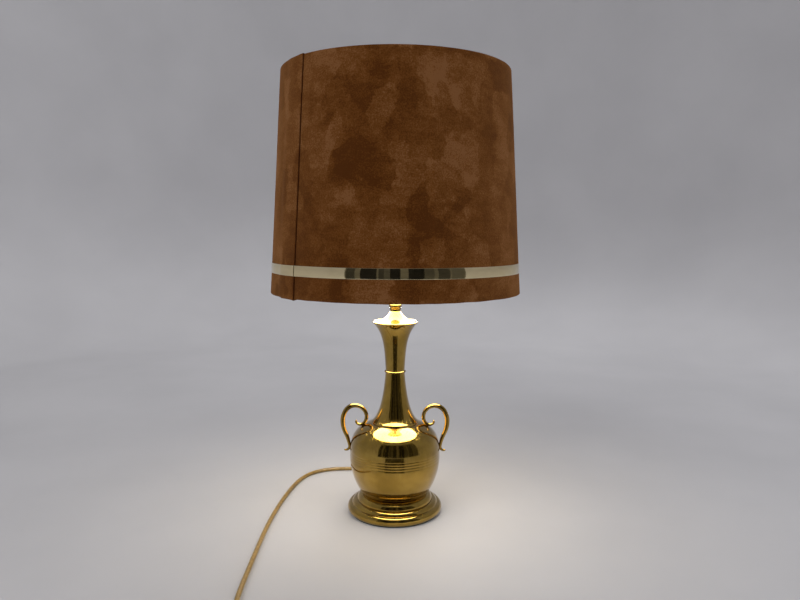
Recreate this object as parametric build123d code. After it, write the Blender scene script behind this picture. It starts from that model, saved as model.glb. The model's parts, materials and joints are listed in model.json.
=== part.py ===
from build123d import *
import math
import os

# Electric table lamp: a turned brass amphora on a stepped foot, two cast scroll handles,
# a screw lampholder with its bulb, and a slightly conical drum shade with a metal band.
# Millimetres, +Z up, origin under the middle of the foot, front towards -Y.

# Foot
brass_wall = 1.2
felt_thickness = 1.5
felt_inset = 0.8
foot_height = 26.3
foot_radius = 68.8
foot_rim_setback = 3.0
foot_bulge_height = 4.8
foot_lip_width = 4.0
first_step_setback = 6.5
first_step_height = 12.3
second_step_setback = 14.0
second_step_height = 17.4
foot_top_setback = 22.2
first_step_crown = 1.6
second_step_crown = 2.2

# Weight and stem inside the foot
weight_clearance = 1.0
weight_recess_radius = 16.0
nut_seat_height = 16.5
washer_radius = 10.0
washer_thickness = 1.5
nut_across_flats = 17.0
nut_height = 4.0
stem_radius = 5.0
stem_bore_radius = 4.0
stem_stub = 2.0
stem_clearance = 0.1
thread_clearance = 0.05

# Globe
globe_height = 104.0
globe_radius = 65.5
globe_equator_height = 54.2
globe_shoulder_radius = 34.0
globe_base_pull = (11.05, 11.85)
globe_belly_drop = 19.3
globe_belly_rise = 30.1
globe_shoulder_pull = (25.35, 8.66)
scribe_count = 4
scribe_spacing = 3.75
scribe_radius = 0.45
scribe_above_equator = 9.0

# Neck, mouth and collar
lower_neck_height = 73.4
lower_neck_foot_radius = 32.6
lower_neck_top_radius = 13.9
lower_neck_flare_pull = (12.8, 14.25)
lower_neck_throat_pull = (2.25, 27.8)
neck_ring_height = 3.0
neck_ring_radius = 15.5
upper_neck_height = 71.6
upper_neck_foot_radius = 13.7
upper_neck_throat_pull = (1.8, 30.7)
upper_neck_flare_pull = (14.8, 15.7)
lip_radius = 32.8
lip_thickness = 3.0
cap_ledge_width = 3.5
cap_rim_height = 1.6
cap_height = 16.6
cap_top_radius = 7.8
cap_sag = 3.4
collar_radius = 9.0
collar_height = 12.0
collar_chamfer = 0.6
mouth_clearance = 0.2

# Scroll handles: rod radius along the scroll, how far the rod bites into the globe,
# and the scroll's places from the curl on the shoulder and from the lower contact
handle_tip_radius = 1.5
handle_curl_radius = 2.1
handle_inner_radius = 2.7
handle_top_radius = 3.2
handle_outer_radius = 3.4
handle_foot_radius = 2.2
handle_tail_radius = 1.4
handle_bite = 0.9
handle_reach = 10.6
handle_rise = 24.0
handle_outer_rise = 1.4
handle_curl_inset = 15.5
handle_curl_lift = 1.2
handle_curl_step = 1.0
handle_tip_step = (6.4, 5.0)
handle_inner_step = (-8.6, 11.6)
handle_top_step = 8.0
handle_foot_above_equator = 14.0
handle_tail_step = (6.6, -6.4)

# Lampholder
holder_hub_radius = 9.5
holder_hub_height = 4.0
holder_radius = 19.0
holder_wall = 1.9
holder_cap_height = 20.0
holder_cone_height = 13.0
holder_thread_length = 9.0
holder_shell_height = 38.0
holder_flange_height = 14.0
holder_flange_thickness = 2.0
holder_flange_radius = 23.0
holder_screw_radius = 19.6
holder_lip_height = 2.0
insert_ledge_width = 2.1
insert_drop = 4.0
insert_height = 13.0
insert_clearance = 0.2
screw_shell_radius = 13.4
screw_shell_wall = 0.6
screw_shell_height = 26.0
contact_leaf = (14.0, 5.0, 0.6)
contact_button_radius = 3.0
contact_button_height = 2.4
terminal_offset = 9.0
terminal_screw_radius = 1.5

# Bulb
bulb_gap = 0.3
bulb_contact_radius = 4.5
bulb_contact_height = 1.2
bulb_insulator_height = 3.8
bulb_insulator_radius = 11.5
bulb_cap_radius = 13.1
bulb_cap_height = 22.0
bulb_cap_wall = 0.5
bulb_radius = 30.0
bulb_length = 105.0
bulb_neck_overlap = 7.0
bulb_glass_wall = 0.9
bulb_stem_height = 30.0
bulb_stem_radius = 3.0
filament_radius = 0.35
filament_half_width = 12.0
filament_rise = 20.0
filament_sag = 4.0

# Shade
shade_bottom_radius = 175.0
shade_top_radius = 157.7
shade_height = 300.5
shade_cover_thickness = 1.2
shade_hem_width = 6.0
shade_lining_thickness = 0.8
laminate_gap = 0.1
band_height = 13.6
band_above_hem = 28.8
band_thickness = 0.4
shade_wire_radius = 1.5
shade_wire_gap = 0.15
spoke_count = 3
spoke_first_angle = 90.0
fitter_recess = 19.65
fitter_bore_radius = 20.3
fitter_radius = 29.0
fitter_thickness = 1.5
running_gap = 0.15
shade_nut_clearance = 0.3
shade_nut_flange_radius = 28.5
shade_nut_flange_height = 2.2
shade_nut_body_radius = 22.8
shade_nut_height = 9.0

# Mains flex
cord_diameter = 5.8
cord_height = 3.0
cord_fit = 0.05
corner_share = 0.45
bush_height = 6.5
bush_radius = 4.5
bush_flange_radius = 6.4
bush_flange_thickness = 1.6
bush_nose_length = 20.0
bush_nose_root_radius = 5.2
bush_nose_tip_radius = 3.7
bush_inner_length = 4.0
flex_end_from_axis = 24.0
core_radius = 1.1
core_offset = 1.5
core_bend_radius = 5.0
core_end_radius = 3.0
clamp_size = (26.0, 8.0, 1.5)
clamp_from_axis = 45.0
clamp_screw_offset = 9.0
clamp_screw_radius = 1.5
clamp_screw_depth = 5.0
clamp_head_radius = 2.75
clamp_head_height = 1.5

# Put-away coil, its tie, the switch and the plug, all lying in front of the foot
coil_center = (46.0, -320.0)
coil_outer_radius = 37.0
coil_pitch = 6.4
coil_layer_rise = 6.4
coil_layer_turns = 2.25
coil_straight = 22.0
tie_width = 6.0
tie_thickness = 0.6
tie_gap = 0.15
tie_side_gap = 0.6
tie_angle = 100.0
switch_center = (-88.0, -310.0)
switch_length = 62.0
switch_width = 26.0
switch_corner = 8.0
switch_floor_gap = 0.3
switch_base_height = 6.7
switch_cover_height = 9.0
switch_wall = 2.0
switch_edge = 2.0
switch_screw_offset = (20.0, 8.0)
switch_screw_radius = 1.5
switch_head_radius = 2.8
switch_head_height = 1.8
switch_boss_radius = 3.6
rocker_radius = 6.5
rocker_width = 9.0
rocker_pivot_drop = 5.0
rocker_pin_radius = 1.5
rocker_pin_length = 1.6
rocker_clearance = 0.4
rocker_pin_clearance = 0.06
rocker_tilt = 8.0
rocker_crown = 6.0
contact_block = (6.0, 5.0, 3.0)
contact_offset = 12.5
tail_length = 42.0
plug_boot_length = 25.0
plug_boot_tip_radius = 3.6
plug_boot_root_radius = 5.0
plug_length = 36.0
plug_width = 35.0
plug_height = 14.0
plug_shoulder = 14.0
plug_rear_width = 14.0
plug_edge = 2.0
pin_radius = 2.0
pin_length = 19.0
pin_spacing = 19.0
pin_tip = 1.0

# Radii of the foot's rings
foot_rim_radius = foot_radius - foot_rim_setback
first_step_radius = foot_radius - first_step_setback
second_step_radius = foot_radius - second_step_setback
foot_top_radius = foot_radius - foot_top_setback

# Heights of the stack, from the table up
foot_rim_z = felt_thickness
foot_top_z = foot_rim_z + foot_height
globe_top_z = foot_top_z + globe_height
neck_ring_z = globe_top_z + lower_neck_height
upper_neck_z = neck_ring_z + neck_ring_height
lip_top_z = upper_neck_z + upper_neck_height
lip_z = lip_top_z - lip_thickness / 2
cap_seat_z = lip_top_z - lip_thickness + cap_rim_height / 2
collar_z = cap_seat_z + cap_height
holder_z = collar_z + collar_height
shell_z = holder_z + holder_cap_height
insert_z = shell_z - insert_drop
insert_top_z = insert_z + insert_height
contact_top_z = insert_top_z + contact_leaf[2] + contact_button_height
bulb_z = contact_top_z + bulb_gap
fitter_z = shell_z + holder_flange_height + holder_flange_thickness + running_gap
shade_nut_z = fitter_z + fitter_thickness + running_gap
shade_z = fitter_z - fitter_recess
shade_top_z = shade_z + shade_height
cord_radius = cord_diameter / 2
cord_exit_z = foot_rim_z + bush_height
weight_z = cord_exit_z - cord_radius - cord_fit
nut_seat_z = foot_rim_z + nut_seat_height
stem_bottom_z = nut_seat_z - washer_thickness - nut_height - stem_stub
stem_top_z = holder_z + holder_thread_length
stem_hole_radius = stem_radius + stem_clearance

parts = {}


# Shared shapes
def turned(*outline):
    return revolve(Plane.XZ * make_face(outline), Axis.Z)


def turned_points(*points):
    return turned(Polyline(*points, close=True))


def disc(radius, bottom, top):
    on_base = (Align.CENTER, Align.CENTER, Align.MIN)
    return Pos(0, 0, bottom) * Cylinder(radius, top - bottom, align=on_base)


def ring(inner, outer, bottom, top):
    return disc(outer, bottom, top) - disc(inner, bottom, top)


def rod(start, end, radius):
    along = Vector(*end) - Vector(*start)
    return extrude(Plane(origin=start, z_dir=along) * Circle(radius), along.length)


def block(size, low_corner):
    return Pos(*low_corner) * Box(*size, align=(Align.MIN, Align.MIN, Align.MIN))


def biarcs(stations):
    """Two tangent arcs between each pair of (point, direction) stations."""
    edges = []
    for (start, leave), (end, arrive) in zip(stations, stations[1:]):
        span = end - start
        bend = 2 * (1 - leave.dot(arrive))
        pull = 2 * span.dot(leave + arrive)
        square = span.dot(span)
        if bend < 1e-9:
            reach = square / pull
        else:
            reach = (math.sqrt(pull * pull + 4 * bend * square) - pull) / (2 * bend)
        first = start + leave * reach
        second = end - arrive * reach
        middle = (first + second) * 0.5
        edges.append(TangentArc(start, middle, tangent=leave))
        edges.append(TangentArc(middle, end, tangent=(second - first).normalized()))
    return edges


def heading(degrees):
    angle = math.radians(degrees)
    return Vector(math.cos(angle), 0, math.sin(angle))


# Foot, felt and weight
def foot_body(inset):
    rim = (foot_rim_radius - inset, foot_rim_z)
    bulge = (foot_radius - inset, foot_rim_z + foot_bulge_height)
    first = (first_step_radius - inset, foot_rim_z + first_step_height - inset)
    second = (second_step_radius - inset, foot_rim_z + second_step_height - inset)
    top = (foot_top_radius - inset, foot_top_z - inset)
    lower_ring = ThreePointArc(rim, bulge, first)
    middle_ring = SagittaArc(first, second, -first_step_crown)
    upper_ring = SagittaArc(second, top, -second_step_crown)
    closing = Polyline(top, (0, foot_top_z - inset), (0, foot_rim_z), rim)
    return turned(lower_ring, middle_ring, upper_ring, closing)


bush_hole = rod((0, 0, cord_exit_z), (0, foot_radius + bush_flange_thickness, cord_exit_z), bush_radius)
foot_envelope = foot_body(0)
lip_inner = foot_rim_radius - foot_lip_width
lip_ring = ring(lip_inner, foot_rim_radius - brass_wall / 2, foot_rim_z, foot_rim_z + brass_wall)
foot = foot_envelope - foot_body(brass_wall) + lip_ring
foot -= disc(stem_hole_radius, foot_rim_z, foot_top_z)
parts["foot"] = foot - bush_hole
parts["felt_pad"] = disc(foot_rim_radius - felt_inset, 0, felt_thickness)

weight_top_z = foot_top_z - brass_wall
weight_step_drop = brass_wall + weight_clearance
weight_base_z = foot_rim_z - weight_step_drop
weight = disc(first_step_radius - weight_step_drop, weight_z, weight_base_z + first_step_height)
weight += disc(second_step_radius - weight_step_drop, weight_z, weight_base_z + second_step_height)
weight += disc(foot_top_radius - weight_step_drop, weight_z, weight_top_z)
weight -= disc(weight_recess_radius, weight_z, nut_seat_z)
weight -= disc(stem_hole_radius, weight_z, weight_top_z)
slot_width = cord_diameter + 2 * cord_fit
weight -= block((slot_width, foot_radius, slot_width), (-slot_width / 2, 0, weight_z))
clamp_screw_spots = [(-clamp_screw_offset, clamp_from_axis), (clamp_screw_offset, clamp_from_axis)]
clamp_bore = clamp_screw_radius + thread_clearance
for x, y in clamp_screw_spots:
    weight -= rod((x, y, weight_z), (x, y, weight_z + clamp_screw_depth), clamp_bore)
parts["foot_weight"] = weight

# Cord clamp under the weight
clamp_low = (-clamp_size[0] / 2, clamp_from_axis - clamp_size[1] / 2, weight_z - clamp_size[2])
clamp = block(clamp_size, clamp_low)
clamp_screws = []
for x, y in clamp_screw_spots:
    clamp -= rod((x, y, clamp_low[2]), (x, y, weight_z), clamp_bore)
    head = rod((x, y, clamp_low[2] - clamp_head_height), (x, y, clamp_low[2]), clamp_head_radius)
    shank = rod((x, y, clamp_low[2]), (x, y, weight_z + clamp_screw_depth), clamp_screw_radius)
    clamp_screws.append(head + shank)
parts["cord_clamp"] = clamp
parts["clamp_screws"] = Compound(children=clamp_screws)

# Stem tube with its washer and nut, which draw the whole stack together
washer_z = nut_seat_z - washer_thickness
parts["stem_tube"] = ring(stem_bore_radius, stem_radius, stem_bottom_z, stem_top_z)
parts["stem_washer"] = ring(stem_hole_radius, washer_radius, washer_z, nut_seat_z)
nut_corner_radius = nut_across_flats / math.sqrt(3)
nut_blank = extrude(Pos(0, 0, washer_z - nut_height) * RegularPolygon(nut_corner_radius, 6), nut_height)
parts["stem_nut"] = nut_blank - disc(stem_radius + thread_clearance, washer_z - nut_height, washer_z)


# Globe
def globe_lower_curve(inset):
    base = Vector(foot_top_radius - inset, foot_top_z + inset)
    equator = Vector(globe_radius - inset, foot_top_z + globe_equator_height)
    return Bezier(base, base + Vector(*globe_base_pull), equator - Vector(0, globe_belly_drop), equator)


def globe_upper_curve(inset):
    equator = Vector(globe_radius - inset, foot_top_z + globe_equator_height)
    shoulder = Vector(globe_shoulder_radius, globe_top_z - inset)
    pull = Vector(globe_shoulder_pull[0] - inset / 2, -globe_shoulder_pull[1])
    return Bezier(equator, equator + Vector(0, globe_belly_rise), shoulder + pull, shoulder)


def globe_body(inset):
    lower = globe_lower_curve(inset)
    upper = globe_upper_curve(inset)
    closing = Polyline(upper @ 1, (0, globe_top_z - inset), (0, foot_top_z + inset), lower @ 0)
    return turned(lower, upper, closing)


def curve_position(curve, value, rising):
    """Point of a profile curve where its height, or its radius, has the value."""
    low = 0.0
    high = 1.0
    for _ in range(40):
        middle = (low + high) / 2
        point = curve @ middle
        passed = point.Y >= value if rising else point.X <= value
        if passed:
            high = middle
        else:
            low = middle
    return curve @ high


globe_envelope = globe_body(0)
globe = globe_envelope - globe_body(brass_wall) - disc(stem_hole_radius, foot_top_z, globe_top_z)
equator_z = foot_top_z + globe_equator_height
for line in range(scribe_count):
    line_z = equator_z + scribe_above_equator - line * scribe_spacing
    side = globe_upper_curve(0) if line_z > equator_z else globe_lower_curve(0)
    globe -= Pos(0, 0, line_z) * Torus(curve_position(side, line_z, True).X, scribe_radius)
parts["globe"] = globe


# Neck in two trumpets with a turned ring between them
def lower_neck_curve(inset):
    rim = Vector(lower_neck_foot_radius - inset, globe_top_z)
    throat = Vector(lower_neck_top_radius - inset, neck_ring_z)
    flare = Vector(-lower_neck_flare_pull[0], lower_neck_flare_pull[1])
    rise = Vector(lower_neck_throat_pull[0], -lower_neck_throat_pull[1])
    return Bezier(rim, rim + flare, throat + rise, throat)


lower_outer = lower_neck_curve(0)
lower_inner = lower_neck_curve(brass_wall)
lower_rim = Line(lower_inner @ 0, lower_outer @ 0)
lower_mouth = Line(lower_outer @ 1, lower_inner @ 1)
parts["neck_lower"] = turned(lower_outer, lower_mouth, lower_inner, lower_rim)

ring_round = neck_ring_height / 2
ring_bead = Pos(0, 0, neck_ring_z + ring_round) * Torus(neck_ring_radius - ring_round, ring_round)
ring_web = ring(stem_hole_radius, neck_ring_radius - ring_round, neck_ring_z, upper_neck_z)
parts["neck_ring"] = ring_web + ring_bead

lip_round = lip_thickness / 2
lip_center_radius = lip_radius - lip_round
ledge_radius = lip_center_radius - lip_round + mouth_clearance
throat_start = Vector(upper_neck_foot_radius, upper_neck_z)
flare_end = Vector(lip_center_radius, lip_top_z - lip_thickness)
flare_pull = Vector(-upper_neck_flare_pull[0], -upper_neck_flare_pull[1])
throat_rise = Vector(*upper_neck_throat_pull)
upper_outer = Bezier(throat_start, throat_start + throat_rise, flare_end + flare_pull, flare_end)
inner_start = throat_start - Vector(brass_wall, 0)
ledge_inner = Vector(ledge_radius - cap_ledge_width, cap_seat_z)
inner_pull = Vector(-upper_neck_flare_pull[0] + brass_wall, -upper_neck_flare_pull[1])
upper_inner = Bezier(inner_start, inner_start + throat_rise, ledge_inner + inner_pull, ledge_inner)
mouth = Polyline(
    flare_end,
    (lip_center_radius, lip_z),
    (ledge_radius, lip_z),
    (ledge_radius, cap_seat_z),
    ledge_inner,
)
neck_start = Line(inner_start, throat_start)
upper_trumpet = turned(upper_outer, mouth, upper_inner, neck_start)
lip_bead = Pos(0, 0, lip_z) * Torus(lip_center_radius, lip_round)
parts["neck_upper"] = upper_trumpet + lip_bead

# Concave cap in the mouth and the collar that carries the lampholder
cap_rim_radius = ledge_radius - mouth_clearance
cap_rim_z = cap_seat_z + cap_rim_height
cap_rim = (cap_rim_radius, cap_rim_z)
cap_peak = (cap_top_radius, collar_z)
cap_slope = SagittaArc(cap_rim, cap_peak, cap_sag)
cap_under_rim = (cap_rim_radius - cap_ledge_width + mouth_clearance, cap_seat_z)
cap_under = SagittaArc(cap_under_rim, (stem_hole_radius, collar_z - brass_wall), cap_sag)
cap_edge = Polyline(cap_under @ 0, (cap_rim_radius, cap_seat_z), cap_rim)
cap_top = Polyline(cap_peak, (stem_hole_radius, collar_z), cap_under @ 1)
parts["mouth_cap"] = turned(cap_edge, cap_slope, cap_top, cap_under)
collar_edge = collar_radius - collar_chamfer
parts["collar"] = turned_points(
    (stem_hole_radius, collar_z),
    (collar_edge, collar_z),
    (collar_radius, collar_z + collar_chamfer),
    (collar_radius, holder_z - collar_chamfer),
    (collar_edge, holder_z),
    (stem_hole_radius, holder_z),
)


# Scroll handles: one tapering rod from the curl on the shoulder, over the top, to the tail
def scroll_stations():
    upper = globe_upper_curve(0)
    shoulder = curve_position(upper, globe_radius - handle_curl_inset, False)
    curl = Vector(shoulder.X, 0, shoulder.Y + handle_curl_radius + handle_curl_lift)
    contact = curve_position(upper, equator_z + handle_foot_above_equator, True)
    foot_end = Vector(contact.X + handle_foot_radius - handle_bite, 0, contact.Y)
    top = Vector(curl.X + handle_top_step, 0, globe_top_z + handle_rise)
    outside = Vector(globe_radius + handle_reach, 0, globe_top_z + handle_outer_rise)
    return [
        (curl + Vector(handle_tip_step[0], 0, handle_tip_step[1]), heading(-75), handle_tip_radius),
        (curl + Vector(handle_curl_step, 0, 0), heading(183), handle_curl_radius),
        (curl + Vector(handle_inner_step[0], 0, handle_inner_step[1]), heading(90), handle_inner_radius),
        (top, heading(0), handle_top_radius),
        (outside, heading(-90), handle_outer_radius),
        (foot_end, heading(-98), handle_foot_radius),
        (foot_end + Vector(handle_tail_step[0], 0, handle_tail_step[1]), heading(15), handle_tail_radius),
    ]


def scroll_handle():
    stations = scroll_stations()
    path = Wire(biarcs([(point, direction) for point, direction, radius in stations]))
    sections = []
    for point, direction, radius in stations:
        sections.append(Plane(origin=point, z_dir=direction) * Circle(radius))
    handle = sweep(sections, path=path, multisection=True)
    for point, direction, radius in (stations[0], stations[-1]):
        handle += Pos(point) * Sphere(radius)
    return handle - globe_envelope


parts["handle_right"] = scroll_handle()
parts["handle_left"] = mirror(parts["handle_right"], Plane.YZ)

# Lampholder
holder_bore = holder_radius - holder_wall
ledge_bore = holder_bore - insert_ledge_width
hub_top_z = holder_z + holder_thread_length
parts["holder_cap"] = turned_points(
    (stem_radius + thread_clearance, holder_z),
    (holder_hub_radius, holder_z),
    (holder_hub_radius, holder_z + holder_hub_height),
    (holder_radius, holder_z + holder_cone_height),
    (holder_radius, shell_z),
    (holder_bore, shell_z),
    (holder_bore, insert_z),
    (ledge_bore, insert_z),
    (ledge_bore, insert_z - holder_wall),
    (stem_radius + 2 * holder_wall, hub_top_z),
    (stem_radius + thread_clearance, hub_top_z),
)
flange_z = shell_z + holder_flange_height
flange_top_z = flange_z + holder_flange_thickness
shell_top_z = shell_z + holder_shell_height
screw_shell_outer = screw_shell_radius + screw_shell_wall
lip_bore = screw_shell_outer + insert_clearance
parts["holder_shell"] = turned_points(
    (holder_bore, shell_z),
    (holder_radius, shell_z),
    (holder_radius, flange_z),
    (holder_flange_radius, flange_z),
    (holder_flange_radius, flange_top_z),
    (holder_screw_radius, flange_top_z),
    (holder_screw_radius, shell_top_z),
    (lip_bore, shell_top_z),
    (lip_bore, shell_top_z - holder_lip_height),
    (holder_bore, shell_top_z - holder_lip_height),
)
insert = disc(holder_bore - insert_clearance, insert_z, insert_top_z)
terminal_z = insert_z + insert_height / 2
core_top_z = terminal_z + terminal_screw_radius
core_bore = core_radius + stem_clearance
terminal_screws = []
for side in (-1, 1):
    terminal_x = side * terminal_offset
    core_hole = rod((terminal_x, 0, insert_z), (terminal_x, 0, core_top_z), core_bore)
    tip = (side * (terminal_offset + core_bore), 0, terminal_z)
    head = (side * (holder_bore - insert_clearance), 0, terminal_z)
    insert = insert - core_hole - rod(tip, head, terminal_screw_radius + thread_clearance)
    terminal_screws.append(rod(tip, head, terminal_screw_radius))
parts["holder_insert"] = insert
parts["terminal_screws"] = Compound(children=terminal_screws)
screw_shell_top_z = insert_top_z + screw_shell_height
parts["screw_shell"] = ring(screw_shell_radius, screw_shell_outer, insert_top_z, screw_shell_top_z)
leaf = block(contact_leaf, (-contact_leaf[0] / 2, -contact_leaf[1] / 2, insert_top_z))
button_z = insert_top_z + contact_leaf[2]
parts["centre_contact"] = leaf + disc(contact_button_radius, button_z, contact_top_z)

# Bulb
insulator_z = bulb_z + bulb_contact_height
bulb_cap_z = insulator_z + bulb_insulator_height
bulb_cap_top_z = bulb_cap_z + bulb_cap_height
bulb_cap_bore = bulb_cap_radius - bulb_cap_wall
glass_foot_z = bulb_cap_top_z - bulb_neck_overlap
glass_foot_radius = bulb_cap_bore - laminate_gap
parts["bulb_contact"] = disc(bulb_contact_radius, bulb_z, insulator_z)
parts["bulb_insulator"] = turned_points(
    (0, insulator_z),
    (bulb_contact_radius, insulator_z),
    (bulb_insulator_radius, bulb_cap_z),
    (0, bulb_cap_z),
)
parts["bulb_cap"] = turned_points(
    (bulb_insulator_radius - 2 * bulb_cap_wall, bulb_cap_z),
    (bulb_insulator_radius, bulb_cap_z),
    (bulb_cap_radius, bulb_cap_z + bulb_cap_radius - bulb_insulator_radius),
    (bulb_cap_radius, bulb_cap_top_z),
    (bulb_cap_bore, bulb_cap_top_z),
    (bulb_cap_bore, bulb_cap_z + bulb_cap_radius - bulb_insulator_radius),
    (bulb_insulator_radius - 2 * bulb_cap_wall, bulb_cap_z + bulb_cap_wall),
)


def bulb_body(inset):
    neck_radius = glass_foot_radius - inset
    globe_radius_here = bulb_radius - inset
    center_z = bulb_z + bulb_length - bulb_radius
    neck = Line((neck_radius, glass_foot_z), (neck_radius, bulb_cap_top_z))
    flare = Bezier(
        (neck_radius, bulb_cap_top_z),
        (neck_radius, bulb_cap_top_z + bulb_radius / 2),
        (globe_radius_here, center_z - bulb_radius / 2),
        (globe_radius_here, center_z),
    )
    slant = globe_radius_here / math.sqrt(2)
    crown_top = (0, center_z + globe_radius_here)
    crown = ThreePointArc((globe_radius_here, center_z), (slant, center_z + slant), crown_top)
    closing = Polyline(crown_top, (0, glass_foot_z), (neck_radius, glass_foot_z))
    return turned(neck, flare, crown, closing)


parts["bulb_glass"] = bulb_body(0) - bulb_body(bulb_glass_wall)
stem_flare_radius = glass_foot_radius - bulb_glass_wall - laminate_gap
stem_glass_z = glass_foot_z + bulb_glass_wall
bulb_stem_top_z = glass_foot_z + bulb_stem_height
parts["bulb_stem"] = turned_points(
    (0, glass_foot_z),
    (stem_flare_radius, glass_foot_z),
    (stem_flare_radius, stem_glass_z),
    (bulb_stem_radius, stem_glass_z + bulb_stem_radius),
    (bulb_stem_radius, bulb_stem_top_z),
    (0, bulb_stem_top_z),
)
lead_x = bulb_stem_radius / 2
filament_z = bulb_stem_top_z + filament_rise
filament_path = FilletPolyline(
    (-lead_x, 0, bulb_stem_top_z),
    (-filament_half_width, 0, filament_z),
    (-filament_half_width / 2, 0, filament_z + filament_sag),
    (0, 0, filament_z),
    (filament_half_width / 2, 0, filament_z + filament_sag),
    (filament_half_width, 0, filament_z),
    (lead_x, 0, bulb_stem_top_z),
    radius=3 * filament_radius,
)
filament_start = Plane(origin=filament_path @ 0, z_dir=filament_path % 0) * Circle(filament_radius)
filament = sweep(filament_start, path=filament_path)
parts["bulb_filament"] = filament - disc(bulb_stem_radius, stem_glass_z, bulb_stem_top_z)


# Shade: cover with turned hems, lining, outside band, two wires and the spoked fitter
def shade_radius(height):
    return shade_bottom_radius + (shade_top_radius - shade_bottom_radius) * height / shade_height


def shade_layer(low, high, outer_inset, thickness):
    outer_low = shade_radius(low) - outer_inset
    outer_high = shade_radius(high) - outer_inset
    return turned_points(
        (outer_low - thickness, shade_z + low),
        (outer_low, shade_z + low),
        (outer_high, shade_z + high),
        (outer_high - thickness, shade_z + high),
    )


def shade_hem(edge_radius, bottom):
    inner = edge_radius - shade_hem_width
    outer = edge_radius - shade_cover_thickness / 2
    return ring(inner, outer, bottom, bottom + shade_cover_thickness)


hem_low = shade_hem(shade_bottom_radius, shade_z)
hem_high = shade_hem(shade_top_radius, shade_top_z - shade_cover_thickness)
parts["shade_cover"] = shade_layer(0, shade_height, 0, shade_cover_thickness) + hem_low + hem_high
lining_low = shade_cover_thickness + laminate_gap
lining_high = shade_height - lining_low
lining_inset = shade_cover_thickness + laminate_gap
parts["shade_lining"] = shade_layer(lining_low, lining_high, lining_inset, shade_lining_thickness)
band_outset = -laminate_gap - band_thickness
parts["shade_band"] = shade_layer(band_above_hem, band_above_hem + band_height, band_outset, band_thickness)

wire_lift = shade_cover_thickness + shade_wire_gap + shade_wire_radius
wire_inset = lining_inset + shade_lining_thickness + shade_wire_gap + shade_wire_radius
bottom_wire_radius = shade_radius(wire_lift + shade_wire_radius) - wire_inset
top_wire_radius = shade_radius(shade_height - wire_lift + shade_wire_radius) - wire_inset
bottom_wire = Pos(0, 0, shade_z + wire_lift) * Torus(bottom_wire_radius, shade_wire_radius)
parts["shade_bottom_wire"] = bottom_wire
parts["shade_top_wire"] = Pos(0, 0, shade_top_z - wire_lift) * Torus(top_wire_radius, shade_wire_radius)
fitter = ring(fitter_bore_radius, fitter_radius, fitter_z, fitter_z + fitter_thickness)
parts["shade_fitter"] = fitter
spokes = []
for spoke in range(spoke_count):
    turn = Rot(0, 0, spoke_first_angle + spoke * 360 / spoke_count)
    inner_end = (fitter_radius - laminate_gap, 0, fitter_z + fitter_thickness / 2)
    outer_end = (bottom_wire_radius, 0, shade_z + wire_lift)
    spokes.append(turn * rod(inner_end, outer_end, shade_wire_radius) - fitter - bottom_wire)
parts["shade_spokes"] = Compound(children=spokes)

nut_bore = holder_screw_radius + shade_nut_clearance
nut_shoulder_z = shade_nut_z + shade_nut_flange_height
nut_cone_height = shade_nut_height - shade_nut_flange_height
parts["shade_nut"] = turned_points(
    (nut_bore, shade_nut_z),
    (shade_nut_flange_radius, shade_nut_z),
    (shade_nut_flange_radius, nut_shoulder_z),
    (shade_nut_body_radius, nut_shoulder_z + nut_cone_height / 6),
    (shade_nut_body_radius, shade_nut_z + shade_nut_height),
    (nut_bore, shade_nut_z + shade_nut_height),
)

# Bush at the back of the foot, the sheathed flex through it and its two cores up the stem
flange_y = foot_radius + bush_flange_thickness
bush_end_y = flange_y + bush_nose_length
bush = rod((0, 0, cord_exit_z), (0, flange_y, cord_exit_z), bush_flange_radius) - foot_envelope
bush_start = (0, foot_radius - brass_wall - bush_inner_length, cord_exit_z)
bush += rod(bush_start, (0, flange_y, cord_exit_z), bush_radius)
nose_plane = Plane(origin=(0, flange_y, cord_exit_z), z_dir=(0, 1, 0))
nose_root = nose_plane * Circle(bush_nose_root_radius)
nose_tip = nose_plane.offset(bush_nose_length) * Circle(bush_nose_tip_radius)
bush += loft([nose_root, nose_tip])
flex_end = (0, flex_end_from_axis, cord_exit_z)
parts["cord_bush"] = bush - rod(flex_end, (0, bush_end_y, cord_exit_z), cord_radius + cord_fit)
parts["flex_end"] = rod(flex_end, (0, bush_end_y, cord_exit_z), cord_radius)
for name, side in (("core_live", 1), ("core_neutral", -1)):
    core_x = side * core_offset
    terminal_x = side * terminal_offset
    core_path = FilletPolyline(
        (core_x, flex_end_from_axis, cord_exit_z),
        (core_x, 0, cord_exit_z),
        (core_x, 0, stem_top_z + core_radius),
        (terminal_x, 0, insert_z - core_radius),
        (terminal_x, 0, core_top_z),
        radius=[core_bend_radius, core_end_radius, core_end_radius],
    )
    core_start = Plane(origin=core_path @ 0, z_dir=core_path % 0) * Circle(core_radius)
    parts[name] = sweep(core_start, path=core_path)

# Inline switch
switch_x, switch_y = switch_center
switch_left_x = switch_x - switch_length / 2
switch_right_x = switch_x + switch_length / 2
switch_split_z = switch_floor_gap + switch_base_height
switch_top_z = switch_split_z + switch_cover_height
rocker_z = switch_top_z - rocker_pivot_drop


def switch_slab(inset, bottom, top):
    corner = switch_corner - inset
    outline = RectangleRounded(switch_length - 2 * inset, switch_width - 2 * inset, corner)
    return extrude(Pos(switch_x, switch_y, bottom) * outline, top - bottom)


def switch_screw_places():
    dx, dy = switch_screw_offset
    return [(switch_x - dx, switch_y + dy), (switch_x + dx, switch_y - dy)]


def across_switch(half_width, radius):
    start = (switch_x, switch_y - half_width, rocker_z)
    end = (switch_x, switch_y + half_width, rocker_z)
    return rod(start, end, radius)


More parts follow.
